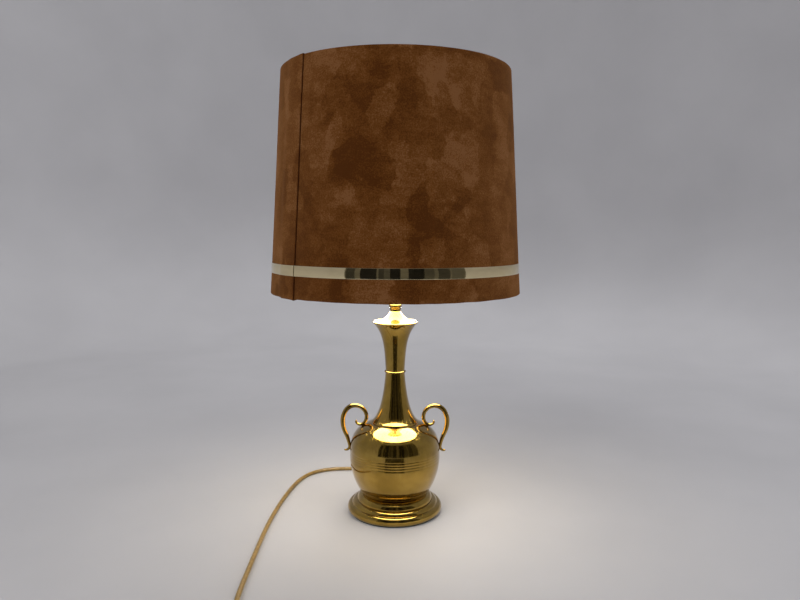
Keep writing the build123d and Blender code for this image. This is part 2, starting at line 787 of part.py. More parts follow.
base_slab = switch_slab(0, switch_floor_gap, switch_split_z)
base_slab = chamfer(base_slab.faces().sort_by(Axis.Z)[0].edges(), switch_edge / 2)
switch_base = base_slab - switch_slab(switch_wall, switch_floor_gap + switch_wall, switch_split_z)
cover_slab = switch_slab(0, switch_split_z, switch_top_z)
cover_slab = fillet(cover_slab.faces().sort_by(Axis.Z)[-1].edges(), switch_edge)
switch_cover = cover_slab - switch_slab(switch_wall, switch_split_z, switch_top_z - switch_wall)
cheek_width = rocker_pin_length + 2 * rocker_clearance
cheek_length = 2 * (rocker_radius + rocker_clearance)
opening_width = rocker_width + 2 * rocker_clearance
for side in (-1, 1):
    cheek_y = switch_y + side * (opening_width / 2 + cheek_width / 2) - cheek_width / 2
    cheek_size = (cheek_length, cheek_width, switch_cover_height - switch_edge)
    switch_cover += block(cheek_size, (switch_x - cheek_length / 2, cheek_y, switch_split_z))
rocker_space = across_switch(opening_width / 2, rocker_radius + rocker_clearance)
pin_reach = rocker_width / 2 + rocker_pin_length
pin_hole = across_switch(pin_reach + rocker_pin_clearance, rocker_pin_radius + rocker_pin_clearance)
switch_cover = switch_cover - rocker_space - pin_hole
switch_base -= rocker_space
switch_screws = []
for x, y in switch_screw_places():
    boss_top_z = switch_top_z - switch_wall
    switch_base += rod((x, y, switch_floor_gap + switch_wall), (x, y, switch_split_z), switch_boss_radius)
    switch_cover += rod((x, y, switch_split_z), (x, y, boss_top_z), switch_boss_radius)
    head_top = (x, y, switch_floor_gap + switch_head_height)
    bottom = (x, y, switch_floor_gap)
    screw_end = (x, y, boss_top_z - switch_wall)
    bore = switch_screw_radius + thread_clearance
    switch_base = switch_base - rod(bottom, head_top, switch_head_radius + stem_clearance)
    switch_base -= rod(bottom, (x, y, switch_split_z), bore)
    switch_cover -= rod((x, y, switch_split_z), screw_end, bore)
    screw_head = rod(bottom, head_top, switch_head_radius)
    switch_screws.append(screw_head + rod(head_top, screw_end, switch_screw_radius))
parts["switch_base"] = switch_base
parts["switch_cover"] = switch_cover
parts["switch_screws"] = Compound(children=switch_screws)
contacts = []
for side in (-1, 1):
    contact_low = (
        switch_x + side * contact_offset - contact_block[0] / 2,
        switch_y - contact_block[1] / 2,
        switch_floor_gap + switch_wall,
    )
    contacts.append(block(contact_block, contact_low))
parts["switch_contacts"] = Compound(children=contacts)

rocker_drum = across_switch(rocker_width / 2, rocker_radius)
facet = (2 * rocker_radius, 2 * rocker_width, 2 * rocker_radius)
for side in (-1, 1):
    cutter = Pos(0, 0, rocker_crown) * Rot(0, side * rocker_tilt, 0) * Pos(0, 0, facet[2] / 2) * Box(*facet)
    half = Pos(side * rocker_radius, 0, 0) * Box(2 * rocker_radius, 2 * rocker_width, 6 * rocker_radius)
    rocker_drum -= Pos(switch_x, switch_y, rocker_z) * (cutter & half)
rocker_pin = across_switch(pin_reach, rocker_pin_radius)
rocker_turn = Axis((switch_x, switch_y, rocker_z), (0, 1, 0))
parts["switch_rocker"] = (rocker_drum + rocker_pin).rotate(rocker_turn, rocker_tilt)

# Put-away coil: spirals in on the table, climbs a layer, spirals out on top
coil_z = cord_radius + tie_thickness + tie_gap
coil_radius_rate = coil_pitch / (2 * math.pi)
coil_layer_angle = 2 * math.pi * coil_layer_turns
coil_inner_radius = coil_outer_radius - coil_pitch * coil_layer_turns
coil_total_angle = 2 * coil_layer_angle + math.pi


def coil_point(angle):
    climb = angle - coil_layer_angle
    if climb <= 0:
        radius = coil_outer_radius - coil_radius_rate * angle
        height = coil_z
    elif climb < math.pi:
        radius = coil_inner_radius + coil_radius_rate * (climb * climb / math.pi - climb)
        share = climb / math.pi
        height = coil_z + coil_layer_rise * share * share * (3 - 2 * share)
    else:
        radius = coil_inner_radius + coil_radius_rate * (climb - math.pi)
        height = coil_z + coil_layer_rise
    bearing = angle - math.pi / 2
    return Vector(
        coil_center[0] + radius * math.cos(bearing), coil_center[1] + radius * math.sin(bearing), height
    )


def coil_direction(angle):
    step = 1e-4
    return (coil_point(angle + step) - coil_point(angle - step)).normalized()


coil_steps = round(coil_total_angle / (math.pi / 2))
coil_stations = []
for step in range(coil_steps + 1):
    angle = coil_total_angle * step / coil_steps
    coil_stations.append((coil_point(angle), coil_direction(angle)))
coil_start, start_direction = coil_stations[0]
coil_stop, stop_direction = coil_stations[-1]
coil_lead_in = coil_start - start_direction * cord_diameter
coil_lead_out = coil_stop + stop_direction * cord_diameter
coil_edges = [Line(coil_lead_in, coil_start)] + biarcs(coil_stations) + [Line(coil_stop, coil_lead_out)]
coil_path = Wire(coil_edges)
coil_face = Plane(origin=coil_lead_in, z_dir=start_direction) * Circle(cord_radius)
parts["cord_coil"] = sweep(coil_face, path=coil_path)


def least_coil_gap():
    count = 60 * coil_steps
    spots = [coil_point(coil_total_angle * index / count) for index in range(count + 1)]
    apart = int(count * math.pi / coil_total_angle)
    gaps = []
    for index in range(0, count + 1, 4):
        for other in range(index + apart, count + 1, 2):
            gaps.append((spots[index] - spots[other]).length)
    return min(gaps) - cord_diameter


print("coil gap", round(least_coil_gap(), 2), "coil length", round(coil_path.length, 1))

# Tie round one side of the coil
tie_inner_low = coil_inner_radius - coil_pitch / 8 - cord_radius - tie_side_gap
tie_inner_high = coil_outer_radius + cord_radius + tie_side_gap
tie_length = tie_inner_high - tie_inner_low
tie_rise = coil_layer_rise + cord_diameter + 2 * tie_gap
tie_outer_size = (tie_length + 2 * tie_thickness, tie_rise + 2 * tie_thickness)
tie_outline = RectangleRounded(*tie_outer_size, cord_radius + tie_thickness)
tie_opening = RectangleRounded(tie_length, tie_rise, cord_radius)
tie_plane = Plane(origin=(0, -tie_width / 2, 0), x_dir=(1, 0, 0), z_dir=(0, -1, 0))
tie_loop = extrude(tie_plane * (tie_outline - tie_opening), -tie_width)
tie_middle = (tie_inner_low + tie_inner_high) / 2
tie_place = Pos(coil_center[0], coil_center[1], tie_thickness + tie_rise / 2) * Rot(0, 0, tie_angle)
parts["cord_tie"] = tie_place * Pos(tie_middle, 0, 0) * tie_loop

# Plug beside the coil
plug_z = plug_height / 2
plug_y = coil_lead_out.Y + stop_direction.Y * tail_length / 2
boot_x = coil_lead_out.X + tail_length
plug_x = boot_x + plug_boot_length
boot_plane = Plane(origin=(boot_x, plug_y, plug_z), z_dir=(1, 0, 0))
boot_tip = boot_plane * Circle(plug_boot_tip_radius)
boot_root = boot_plane.offset(plug_boot_length) * Circle(plug_boot_root_radius)
parts["plug_boot"] = loft([boot_tip, boot_root])
plug_outline = Polyline(
    (plug_x, plug_y - plug_rear_width / 2),
    (plug_x + plug_shoulder, plug_y - plug_width / 2),
    (plug_x + plug_length, plug_y - plug_width / 2),
    (plug_x + plug_length, plug_y + plug_width / 2),
    (plug_x + plug_shoulder, plug_y + plug_width / 2),
    (plug_x, plug_y + plug_rear_width / 2),
    close=True,
)
plug_body = extrude(make_face(plug_outline), plug_height)
plug_body = fillet(plug_body.edges().filter_by(Axis.Z), 2 * plug_edge)
plug_caps = plug_body.faces().filter_by(Axis.Z)
parts["plug_body"] = chamfer(plug_caps.edges(), plug_edge)
plug_face_x = plug_x + plug_length
pins = []
for side in (-1, 1):
    pin_y = plug_y + side * pin_spacing / 2
    pin = rod((plug_face_x, pin_y, plug_z), (plug_face_x + pin_length, pin_y, plug_z), pin_radius)
    pins.append(chamfer(pin.faces().sort_by(Axis.X)[-1].edges(), pin_tip))
parts["plug_pins"] = Compound(children=pins)

# Free stretches of the flex: lamp to switch, switch to coil, coil to plug
coil_run_in = coil_lead_in - start_direction * coil_straight
coil_run_out = coil_lead_out + stop_direction * (tail_length / 3)
lead_route = [
    (0, bush_end_y, cord_exit_z),
    (0, bush_end_y + 28, cord_exit_z),
    (-11, 145, 5),
    (-38, 161, cord_height),
    (-78, 162, cord_height),
    (-116, 157.5, cord_height),
    (-143, 138, cord_height),
    (-158, 103, cord_height),
    (-167, 50, cord_height),
    (-173, -12, cord_height),
    (-175.5, -75, cord_height),
    (-175, -140, cord_height),
    (-174.3, -192, cord_height),
    (-173.5, -236, cord_height),
    (-171.5, -267, cord_height),
    (-164, -291, 4),
    (-148.5, -305, 5.5),
    (switch_left_x - 12, switch_y, switch_split_z),
    (switch_left_x, switch_y, switch_split_z),
]
link_route = [
    (switch_right_x, switch_y, switch_split_z),
    (switch_right_x + 22, switch_y, switch_split_z),
    (-13.4, -322.8, 5.2),
    (-3.8, -344.2, coil_z),
    (coil_run_in.X, coil_run_in.Y, coil_z),
    (coil_lead_in.X, coil_lead_in.Y, coil_z),
]
tail_route = [
    (coil_lead_out.X, coil_lead_out.Y, coil_lead_out.Z),
    (coil_run_out.X, coil_run_out.Y, coil_run_out.Z),
    (boot_x - tail_length / 3, plug_y, plug_z),
    (boot_x, plug_y, plug_z),
]


def cord_tube(name, route):
    radii = []
    for before, corner, after in zip(route, route[1:], route[2:]):
        arrive = Vector(*corner) - Vector(*before)
        leave = Vector(*after) - Vector(*corner)
        turn = math.radians(arrive.get_angle(leave))
        radii.append(corner_share * min(arrive.length, leave.length) / math.tan(turn / 2))
    path = FilletPolyline(*route, radius=radii)
    face = Plane(origin=path @ 0, z_dir=path % 0) * Circle(cord_radius)
    tube = sweep(face, path=path)
    section = math.pi * cord_radius * cord_radius
    print(name, "radii", [round(radius) for radius in radii])
    ratio = tube.volume / (section * path.length)
    print(name, "length", round(path.length, 1), "volume ratio", round(ratio, 4))
    return tube


parts["cord_lead"] = cord_tube("cord_lead", lead_route)
parts["cord_link"] = cord_tube("cord_link", link_route)
parts["cord_tail"] = cord_tube("cord_tail", tail_route)

os.makedirs("parts", exist_ok=True)
for name, shape in parts.items():
    shape.label = name
    export_step(shape, f"parts/{name}.step")
print(len(parts), "nodes")
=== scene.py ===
import json
import math
import bpy
from mathutils import Matrix, Vector, noise


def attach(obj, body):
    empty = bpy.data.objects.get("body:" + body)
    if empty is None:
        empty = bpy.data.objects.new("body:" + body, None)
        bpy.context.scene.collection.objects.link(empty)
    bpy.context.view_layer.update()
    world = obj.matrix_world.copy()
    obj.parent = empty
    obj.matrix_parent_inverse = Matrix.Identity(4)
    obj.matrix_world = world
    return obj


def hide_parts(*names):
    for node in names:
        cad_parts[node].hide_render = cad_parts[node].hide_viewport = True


# Electric table lamp with a suede shade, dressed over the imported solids.
# Lengths are in millimetres unless a comment says otherwise, and MM turns them into the scene's metres.
# A pair such as (65.8, 1.5) is a place on a turned outline: radius and height.
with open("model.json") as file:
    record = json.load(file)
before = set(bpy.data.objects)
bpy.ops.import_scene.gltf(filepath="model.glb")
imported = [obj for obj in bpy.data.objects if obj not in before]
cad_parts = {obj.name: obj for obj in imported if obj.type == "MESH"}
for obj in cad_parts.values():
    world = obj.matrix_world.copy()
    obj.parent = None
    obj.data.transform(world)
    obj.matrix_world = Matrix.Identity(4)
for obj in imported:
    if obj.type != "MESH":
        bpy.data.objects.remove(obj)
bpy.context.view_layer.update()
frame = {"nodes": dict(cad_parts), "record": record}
nodes = frame["nodes"]
MM = 0.001

# Camera, fitted to the photograph's 800 by 600 frame
PHOTO_WIDTH = 800
FOCAL_PIXELS = 682.48
SENSOR_WIDTH = 36.0
CAMERA_PLACE = (6.65, -970.37, 411.14)
CAMERA_PITCH = 5.955
CAMERA_ROLL = 0.2312

# Foot
WALL = 1.2
FOOT_RIM = (65.8, 1.5)
FOOT_BULGE = (68.8, 6.3)
FIRST_STEP = (62.3, 13.8)
SECOND_STEP = (54.8, 18.9)
FOOT_TOP = (46.6, 27.8)
FIRST_CROWN = 1.6
SECOND_CROWN = 2.2
STEM_HOLE = 5.1

# Globe
GLOBE_EQUATOR = (65.5, 82.0)
GLOBE_SHOULDER = (34.0, 131.8)
GLOBE_BASE_PULL = (11.05, 11.85)
GLOBE_BELLY_DROP = 19.3
GLOBE_BELLY_RISE = 30.1
GLOBE_SHOULDER_PULL = (25.35, -8.66)
SCRIBE_LINES = (91.0, 87.25, 83.5, 79.75)
SCRIBE_DEPTH = 0.16
SCRIBE_HALF_WIDTH = 0.5
SCRIBE_CLEARANCE = 1.0
SCRIBE_PROFILE = ((-1, 0), (-0.5, 0.75), (0, 1), (0.5, 0.75), (1, 0))

# Necks, mouth and collar
NECK_FOOT = (33.0, 131.8)
NECK_FOOT_EDGE = 2.6
NECK_THROAT = (13.9, 205.2)
NECK_FLARE_PULL = (-12.3, 11.5)
NECK_THROAT_PULL = (2.25, -27.8)
NECK_RING_RADIUS = 15.5
NECK_RING_HEIGHT = 3.0
UPPER_THROAT = (13.7, 208.2)
UPPER_THROAT_PULL = (1.8, 30.7)
UPPER_FLARE_PULL = (-14.8, -15.7)
LIP_RADIUS = 32.8
LIP_TOP = 279.8
LIP_THICKNESS = 3.0
CAP_SEAT = 277.6
CAP_RIM = (29.8, 279.2)
CAP_PEAK = (7.8, 294.2)
CAP_SAG = 3.4
CAP_LEDGE = 26.5
COLLAR_FOOT_RADIUS = 7.9
COLLAR_RADIUS = 9.0
COLLAR_SETBACK = 0.3
COLLAR_FLARE_SAG = 0.35
COLLAR_FLARE_GAP = 0.9
COLLAR_GROOVE = (8.0, 299.6)
GROOVE_LIP = 0.5
GROOVE_HALF_WIDTH = 0.3
COLLAR_TOP = 306.2
COLLAR_CHAMFER = 0.8

# Shade
SHADE_BOTTOM = (175.0, 322.7)
SHADE_HEIGHT = 300.5
SHADE_TOP_RADIUS = 157.7
SHADE_STEPS = 540
COVER_THICKNESS = 0.9
COVER_LEVELS = 48
COVER_WAVE = 0.35
COVER_WAVES_ROUND = 3
COVER_WAVE_HEIGHT = 90
COVER_WAVE_SETBACK = 0.4
HEM_TURN_IN = 6.0
HEM_ROUND = 0.6
HEM_ZONE = 6.0
HEM_SWAY = 0.4
HEM_SWAYS_ROUND = 9
HEM_SWAY_SLICE = 2
SHEET_SHARP_DEGREES = 55

# Lap seam of the cover, with bearings in degrees
SEAM_BEARING = 223.6
SEAM_SLANT = 1.0
SEAM_LAP = 31.0
SEAM_RISE = 1.15
SEAM_EASE = 16.0
SEAM_EDGE_RADIUS = 0.75
SEAM_EDGE_SIDES = 8
SEAM_EDGE_LEVELS = 120
SEAM_WANDER = 0.35
SEAM_WANDER_LENGTH = 14
SEAM_WANDER_SLICE = (3, 5)
SEAM_SWELL = 0.25
SEAM_SWELL_LENGTH = 9
SEAM_SWELL_SLICE = (8, 1)
LAP_HEM_DROP = 0.9
LAP_HEM_STEP = 2.0
LAP_TIP_DROP = 0.6
LAP_TIP_WIDTH = 3.0
LAP_TOP_RISE = 0.9
LAP_CORNER = 14.0

# Gold band
BAND_ABOVE_HEM = 28.8
BAND_HEIGHT = 13.6
BAND_OUTSET = 0.5
BAND_EDGE = 0.5
BAND_EDGE_SHARE = 0.8
BAND_THICKNESS = 0.3
BAND_JOINT_BEARING = 222.2
BAND_LAP = 1.5
BAND_EASE = 14.0
BAND_END_RISE = 0.35
BAND_END_EASE = 5.0

# Mains flex
CORD_DIAMETER = 5.8
CORD_HEIGHT = 3.0
CORD_EXIT = (0.0, 90.4, 8.0)
SWITCH_LEFT = (-119.0, -310.0, 7.0)
SWITCH_RIGHT = (-57.0, -310.0, 7.0)
COIL_CENTER = (46.0, -320.0)
COIL_RADIUS = 37.0
COIL_PITCH = 6.4
COIL_RISE = 6.4
COIL_HEIGHT = 3.65
COIL_LAYER_TURNS = 2.25
COIL_POINTS_A_TURN = 24

# Strap round the coil, with angles in degrees
STRAP_BEARING = 100.0
STRAP_WIDTH = 6.0
STRAP_THICKNESS = 0.6
STRAP_EASE = 0.05
STRAP_START = 60
STRAP_SWEEP = 400
STRAP_LAP_START = 360
STRAP_LAP_EASE = 55
STRAP_STEPS = 100

# Studio bowl and the cards that only reflections see, with bearings in degrees
BOWL_FLOOR = 1500
BOWL_RINGS = (400, 900)
BOWL_BEND = 600
BOWL_BEND_STEPS = 24
BOWL_TOP = 3000
BOWL_STEPS = 96
FLOOR_DARK = (0.43, 0.425, 0.44)
FLOOR_LIGHT = (0.46, 0.455, 0.47)
ROOM_CARD_BEARINGS = (228, 331)
ROOM_CARD_EDGES = ((1560, 30), (1560, 1750))
ROOM_CARD_TONE = (0.17, 0.16, 0.135)
FLOOR_CARD_BEARINGS = (248, 292)
FLOOR_CARD_EDGES = ((215, 4), (1490, 4))
FLOOR_CARD_TONE = (0.045, 0.043, 0.038)
CARD_DISTANCE = 1500
CARD_FOOT = 30
CARD_STEPS = 12
CARD_MOTTLE = 0.7
CARD_TINT = (1, 0.96, 0.84)

# First bearing, last bearing, top and brightness of each standing card
CARDS = [
    (229, 237, 1300, 0.045),
    (241.5, 255, 1450, 0.012),
    (256.5, 261, 1420, 0.050),
    (261, 266, 1350, 0.100),
    (266, 274.5, 1480, 0.009),
    (281, 294, 1400, 0.009),
    (294, 302.5, 1250, 0.090),
    (306, 316.5, 1380, 0.055),
    (318, 330, 1320, 0.110),
]

# Lights: name, place in metres, size in metres, watts and colour of each softbox
LIGHT_AIM = (0, 0, 0.3)
SOFTBOXES = [
    ("key", (-1.5, -2.0, 1.7), 2.2, 54, (1, 0.99, 0.97)),
    ("fill", (2.3, -0.9, 1.1), 2.0, 37, (0.97, 0.98, 1)),
    ("back", (0.8, 2.7, 2.4), 2.0, 58, (1, 1, 1)),
]
MOUTH_LIGHT_RADIUS = 150
MOUTH_GLOW_RISE = 12
MOUTH_GLOW_WATTS = 0.58
MOUTH_GLOW_SPREAD = 125
MOUTH_SHINE_DROP = 12
MOUTH_SHINE_WATTS = 2.6
MOUTH_SHINE_COLOR = (1.0, 0.97, 0.92)

# World: the backdrop's colours between two slopes of the view upwards, and the light that surfaces get
SKY_SLOPES = (0.55, 0.90)
SKY_LOW = (0.345, 0.34, 0.352, 1)
SKY_HIGH = (0.20, 0.20, 0.19, 1)
AMBIENT_COLOR = (0.95, 0.96, 1.0, 1)
AMBIENT_STRENGTH = 0.28

# Tones of the finishes, and the suede's tones with their places on its ramp
BRASS_DARK = (0.32, 0.198, 0.027)
BRASS_LIGHT = (0.43, 0.275, 0.048)
CONTACT_DARK = (0.55, 0.38, 0.15)
CONTACT_LIGHT = (0.72, 0.53, 0.25)
GOLD_DARK = (0.74, 0.62, 0.36)
GOLD_LIGHT = (0.84, 0.71, 0.44)
BULB_GLOW = (1.0, 0.86, 0.64)
TUNGSTEN_GLOW = (1.0, 0.72, 0.38)
LIT_MOTTLE = 0.9
# Dark brown of the lap's cut edge, also painted shadow where the lap's step shades the cover
SUEDE_EDGE_SHADOW_DARK = (0.022, 0.0050, 0.0010)
SUEDE_EDGE_SHADOW_LIGHT = (0.040, 0.0100, 0.0024)
SUEDE_SHEEN = (0.85, 0.42, 0.15, 1)
SUEDE_STOPS = [
    (0.34, (0.046, 0.0120, 0.0012)),
    (0.45, (0.073, 0.0225, 0.0033)),
    (0.50, (0.087, 0.0295, 0.0055)),
    (0.56, (0.102, 0.0370, 0.0085)),
    (0.64, (0.136, 0.0570, 0.0200)),
]

# Noise: the values that count as low and high, and how the patterns made from it are drawn out
TINT_NOISE = (0.35, 0.65)
GLOSS_NOISE = (0.3, 0.7)
SCRATCH_NOISE = (0.68, 0.74)
SCRATCH_STRETCH = (1400, 110, 110)
BRUSH_WANDER = 1.6
BRUSH_LEAN = (0.4, 0.5, 0.0)
PLAIN_GLOSS_SCALE = 3
PLAIN_RELIEF_SCALE = 6
PLAIN_RELIEF_STRENGTH = 0.2

TURN_STEPS = 192
SHARP_DEGREES = 40


# Curves of the turned outlines
def bezier(start, first, second, end, steps):
    points = []
    for step in range(steps + 1):
        t = step / steps
        weights = ((1 - t) ** 3, 3 * t * (1 - t) ** 2, 3 * t * t * (1 - t), t ** 3)
        corners = (start, first, second, end)
        radius = sum(weight * corner[0] for weight, corner in zip(weights, corners))
        height = sum(weight * corner[1] for weight, corner in zip(weights, corners))
        points.append((radius, height))
    return points


def pulled(point, pull):
    return (point[0] + pull[0], point[1] + pull[1])


def arc_through(start, middle, end, steps):
    """Points of the arc through three places."""
    (ax, ay), (bx, by), (cx, cy) = start, middle, end
    d = 2 * (ax * (by - cy) + bx * (cy - ay) + cx * (ay - by))
    a2, b2, c2 = ax * ax + ay * ay, bx * bx + by * by, cx * cx + cy * cy
    ux = (a2 * (by - cy) + b2 * (cy - ay) + c2 * (ay - by)) / d
    uy = (a2 * (cx - bx) + b2 * (ax - cx) + c2 * (bx - ax)) / d
    radius = math.hypot(ax - ux, ay - uy)
    first = math.atan2(ay - uy, ax - ux)
    half = math.remainder(math.atan2(by - uy, bx - ux) - first, 2 * math.pi)
    rest = math.remainder(math.atan2(cy - uy, cx - ux) - first - half, 2 * math.pi)
    points = []
    for step in range(steps + 1):
        angle = first + (half + rest) * step / steps
        points.append((ux + radius * math.cos(angle), uy + radius * math.sin(angle)))
    return points


def bowed(start, end, bulge, steps):
    """Arc between two places that bulges to the right of the way along it."""
    along = (end[0] - start[0], end[1] - start[1])
    length = math.hypot(*along)
    middle = (
        (start[0] + end[0]) / 2 + bulge * along[1] / length,
        (start[1] + end[1]) / 2 - bulge * along[0] / length,
    )
    return arc_through(start, middle, end, steps)


def bead(center, radius, first_degrees, last_degrees, steps):
    points = []
    for step in range(steps + 1):
        angle = math.radians(first_degrees + (last_degrees - first_degrees) * step / steps)
        points.append((center[0] + radius * math.cos(angle), center[1] + radius * math.sin(angle)))
    return points


# Meshes
def new_piece(name, points, faces, sharp_degrees=SHARP_DEGREES):
    mesh = bpy.data.meshes.new(name)
    mesh.from_pydata([tuple(value * MM for value in point) for point in points], [], faces)
    mesh.validate()
    mesh.shade_smooth()
    mesh.set_sharp_from_angle(angle=math.radians(sharp_degrees))
    piece = bpy.data.objects.new(name, mesh)
    bpy.context.scene.collection.objects.link(piece)
    return piece


def turned(name, outline, node, material):
    """Closed outline of (radius, height) turned about the lamp's axis, in place of a node."""
    points = []
    faces = []
    count = len(outline)
    for step in range(TURN_STEPS):
        angle = 2 * math.pi * step / TURN_STEPS
        for radius, height in outline:
            points.append((radius * math.cos(angle), radius * math.sin(angle), height))
        for row in range(count):
            here = step * count
            beyond = (step + 1) % TURN_STEPS * count
            after = (row + 1) % count
            faces.append((here + row, beyond + row, beyond + after, here + after))
    piece = new_piece(name, points, faces)
    piece.data.materials.append(material)
    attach(piece, "lamp")
    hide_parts(node)
    return piece


# Materials
def surface(name, **values):
    material = bpy.data.materials.new(name)
    material.use_nodes = True
    shader = material.node_tree.nodes["Principled BSDF"]
    for socket, value in values.items():
        shader.inputs[socket.replace("_", " ")].default_value = value
    return material, material.node_tree, shader


def grain(tree, scale, detail=3.0, stretch=(1, 1, 1), distortion=0.0):
    """Noise over the object's own place, stretched along its axes."""
    place = tree.nodes.new("ShaderNodeTexCoord")
    mapping = tree.nodes.new("ShaderNodeMapping")
    mapping.inputs["Scale"].default_value = stretch
    texture = tree.nodes.new("ShaderNodeTexNoise")
    texture.inputs["Scale"].default_value = scale
    texture.inputs["Detail"].default_value = detail
    texture.inputs["Distortion"].default_value = distortion
    tree.links.new(place.outputs["Object"], mapping.inputs["Vector"])
    tree.links.new(mapping.outputs["Vector"], texture.inputs["Vector"])
    return texture.outputs["Fac"]


def layered(tree, layers):
    """Noises added up, each by its weight, about the middle value."""
    total = 0.5 - sum(weight for factor, weight in layers) / 2
    for factor, weight in layers:
        step = tree.nodes.new("ShaderNodeMath")
        step.operation = "MULTIPLY_ADD"
        tree.links.new(factor, step.inputs[0])
        step.inputs[1].default_value = weight
        if isinstance(total, float):
            step.inputs[2].default_value = total
        else:
            tree.links.new(total, step.inputs[2])
        total = step.outputs["Value"]
    return total


def shades(tree, shader, factor, stops):
    """Base colour that runs through (position, colour) stops."""
    ramp = tree.nodes.new("ShaderNodeValToRGB")
    elements = ramp.color_ramp.elements
    while len(elements) < len(stops):
        elements.new(0.5)
    for element, (position, color) in zip(elements, stops):
        element.position = position
        element.color = (*color, 1)
    tree.links.new(factor, ramp.inputs["Fac"])
    tree.links.new(ramp.outputs["Color"], shader.inputs["Base Color"])


def tint(tree, shader, factor, dark, light):
    shades(tree, shader, factor, list(zip(TINT_NOISE, (dark, light))))


def roughen(tree, shader, factor, low, high):
    spread = tree.nodes.new("ShaderNodeMapRange")
    spread.inputs["From Min"].default_value = GLOSS_NOISE[0]
    spread.inputs["From Max"].default_value = GLOSS_NOISE[1]
    spread.inputs["To Min"].default_value = low
    spread.inputs["To Max"].default_value = high
    tree.links.new(factor, spread.inputs["Value"])
    tree.links.new(spread.outputs["Result"], shader.inputs["Roughness"])


def relief(tree, shader, heights):
    """Bumps from (factor, strength, depth in metres), one over the other."""
    below = None
    for factor, strength, depth in heights:
        bump = tree.nodes.new("ShaderNodeBump")
        bump.inputs["Strength"].default_value = strength
        bump.inputs["Distance"].default_value = depth
        tree.links.new(factor, bump.inputs["Height"])
        if below:
            tree.links.new(below, bump.inputs["Normal"])
        below = bump.outputs["Normal"]
    tree.links.new(below, shader.inputs["Normal"])


def scratched(tree, lean):
    """Sparse fine scratches, each set leaning its own way."""
    place = tree.nodes.new("ShaderNodeTexCoord")
    mapping = tree.nodes.new("ShaderNodeMapping")
    mapping.inputs["Rotation"].default_value = lean
    mapping.inputs["Scale"].default_value = SCRATCH_STRETCH
    texture = tree.nodes.new("ShaderNodeTexNoise")
    texture.inputs["Scale"].default_value = 1.0
    texture.inputs["Detail"].default_value = 1.0
    sparse = tree.nodes.new("ShaderNodeMapRange")
    sparse.inputs["From Min"].default_value = SCRATCH_NOISE[0]
    sparse.inputs["From Max"].default_value = SCRATCH_NOISE[1]
    tree.links.new(place.outputs["Object"], mapping.inputs["Vector"])
    tree.links.new(mapping.outputs["Vector"], texture.inputs["Vector"])
    tree.links.new(texture.outputs["Fac"], sparse.inputs["Value"])
    return sparse.outputs["Result"]


def polished_brass(name, dark, light, rough, lacquer):
    """Spun brass with shallow dents, turning marks and scratches, under a clear lacquer."""
    material, tree, shader = surface(name, Metallic=1.0, Coat_Weight=lacquer, Coat_Roughness=0.03)
    tint(tree, shader, grain(tree, scale=38, detail=4, distortion=0.6), dark, light)
    roughen(tree, shader, grain(tree, scale=60, detail=5, stretch=(1, 1, 9)), *rough)
    dents = grain(tree, scale=26, detail=2)
    turning = grain(tree, scale=90, detail=2, stretch=(0.25, 0.25, 28))
    scratches = scratched(tree, lean=(0.5, 0.3, 0.4))
    rubs = scratched(tree, lean=(-0.7, 0.2, 1.3))
    heights = [
        (dents, 0.10, 0.0006),
        (turning, 0.05, 0.00008),
        (scratches, 0.3, 0.0002),
        (rubs, 0.3, 0.0002),
    ]
    relief(tree, shader, heights)
    return material


def brushed(tree, scale, stretch, bend):
    """Patches of one tone each, with fuzzy wandering edges."""
    place = tree.nodes.new("ShaderNodeTexCoord")
    wander = tree.nodes.new("ShaderNodeTexNoise")
    wander.inputs["Scale"].default_value = scale * BRUSH_WANDER
    wander.inputs["Detail"].default_value = 7.0
    wander.inputs["Roughness"].default_value = 0.64
    tree.links.new(place.outputs["Object"], wander.inputs["Vector"])
    bent = tree.nodes.new("ShaderNodeVectorMath")
    bent.operation = "MULTIPLY_ADD"
    tree.links.new(wander.outputs["Color"], bent.inputs[0])
    bent.inputs[1].default_value = (bend, bend, bend)
    tree.links.new(place.outputs["Object"], bent.inputs[2])
    mapping = tree.nodes.new("ShaderNodeMapping")
    mapping.inputs["Scale"].default_value = stretch
    mapping.inputs["Rotation"].default_value = BRUSH_LEAN
    tree.links.new(bent.outputs["Vector"], mapping.inputs["Vector"])
    cells = tree.nodes.new("ShaderNodeTexVoronoi")
    cells.feature = "SMOOTH_F1"
    cells.inputs["Scale"].default_value = scale
    cells.inputs["Smoothness"].default_value = 0.14
    tree.links.new(mapping.outputs["Vector"], cells.inputs["Vector"])
    parts = tree.nodes.new("ShaderNodeSeparateColor")
    tree.links.new(cells.outputs["Color"], parts.inputs["Color"])
    return parts.outputs["Red"]


def suede():
    """Brushed patches with fuzzy edges, and streaks and a fine nap over them."""
    material, tree, shader = surface("suede", Roughness=0.95, Sheen_Weight=0.22, Sheen_Roughness=0.6)
    shader.inputs["Sheen Tint"].default_value = SUEDE_SHEEN
    shader.inputs["Specular IOR Level"].default_value = 0.1
    patches = brushed(tree, scale=18, stretch=(1, 1, 0.75), bend=0.045)
    dabs = brushed(tree, scale=34, stretch=(1, 1, 0.7), bend=0.024)
    clouds = grain(tree, scale=12, detail=3, stretch=(1, 1, 1.15), distortion=0.35)
    strokes = grain(tree, scale=46, detail=3, stretch=(0.6, 0.6, 1.5), distortion=0.5)
    streaks = grain(tree, scale=130, detail=4, stretch=(0.7, 0.7, 1.3), distortion=1.2)
    nap = grain(tree, scale=620, detail=2)
    layers = [
        (patches, 0.16),
        (dabs, 0.18),
        (clouds, 0.31),
        (strokes, 0.27),
        (streaks, 0.18),
        (nap, 0.46),
    ]
    shades(tree, shader, layered(tree, layers), SUEDE_STOPS)
    relief(tree, shader, [(strokes, 0.2, 0.0008), (nap, 0.35, 0.0006)])
    return material
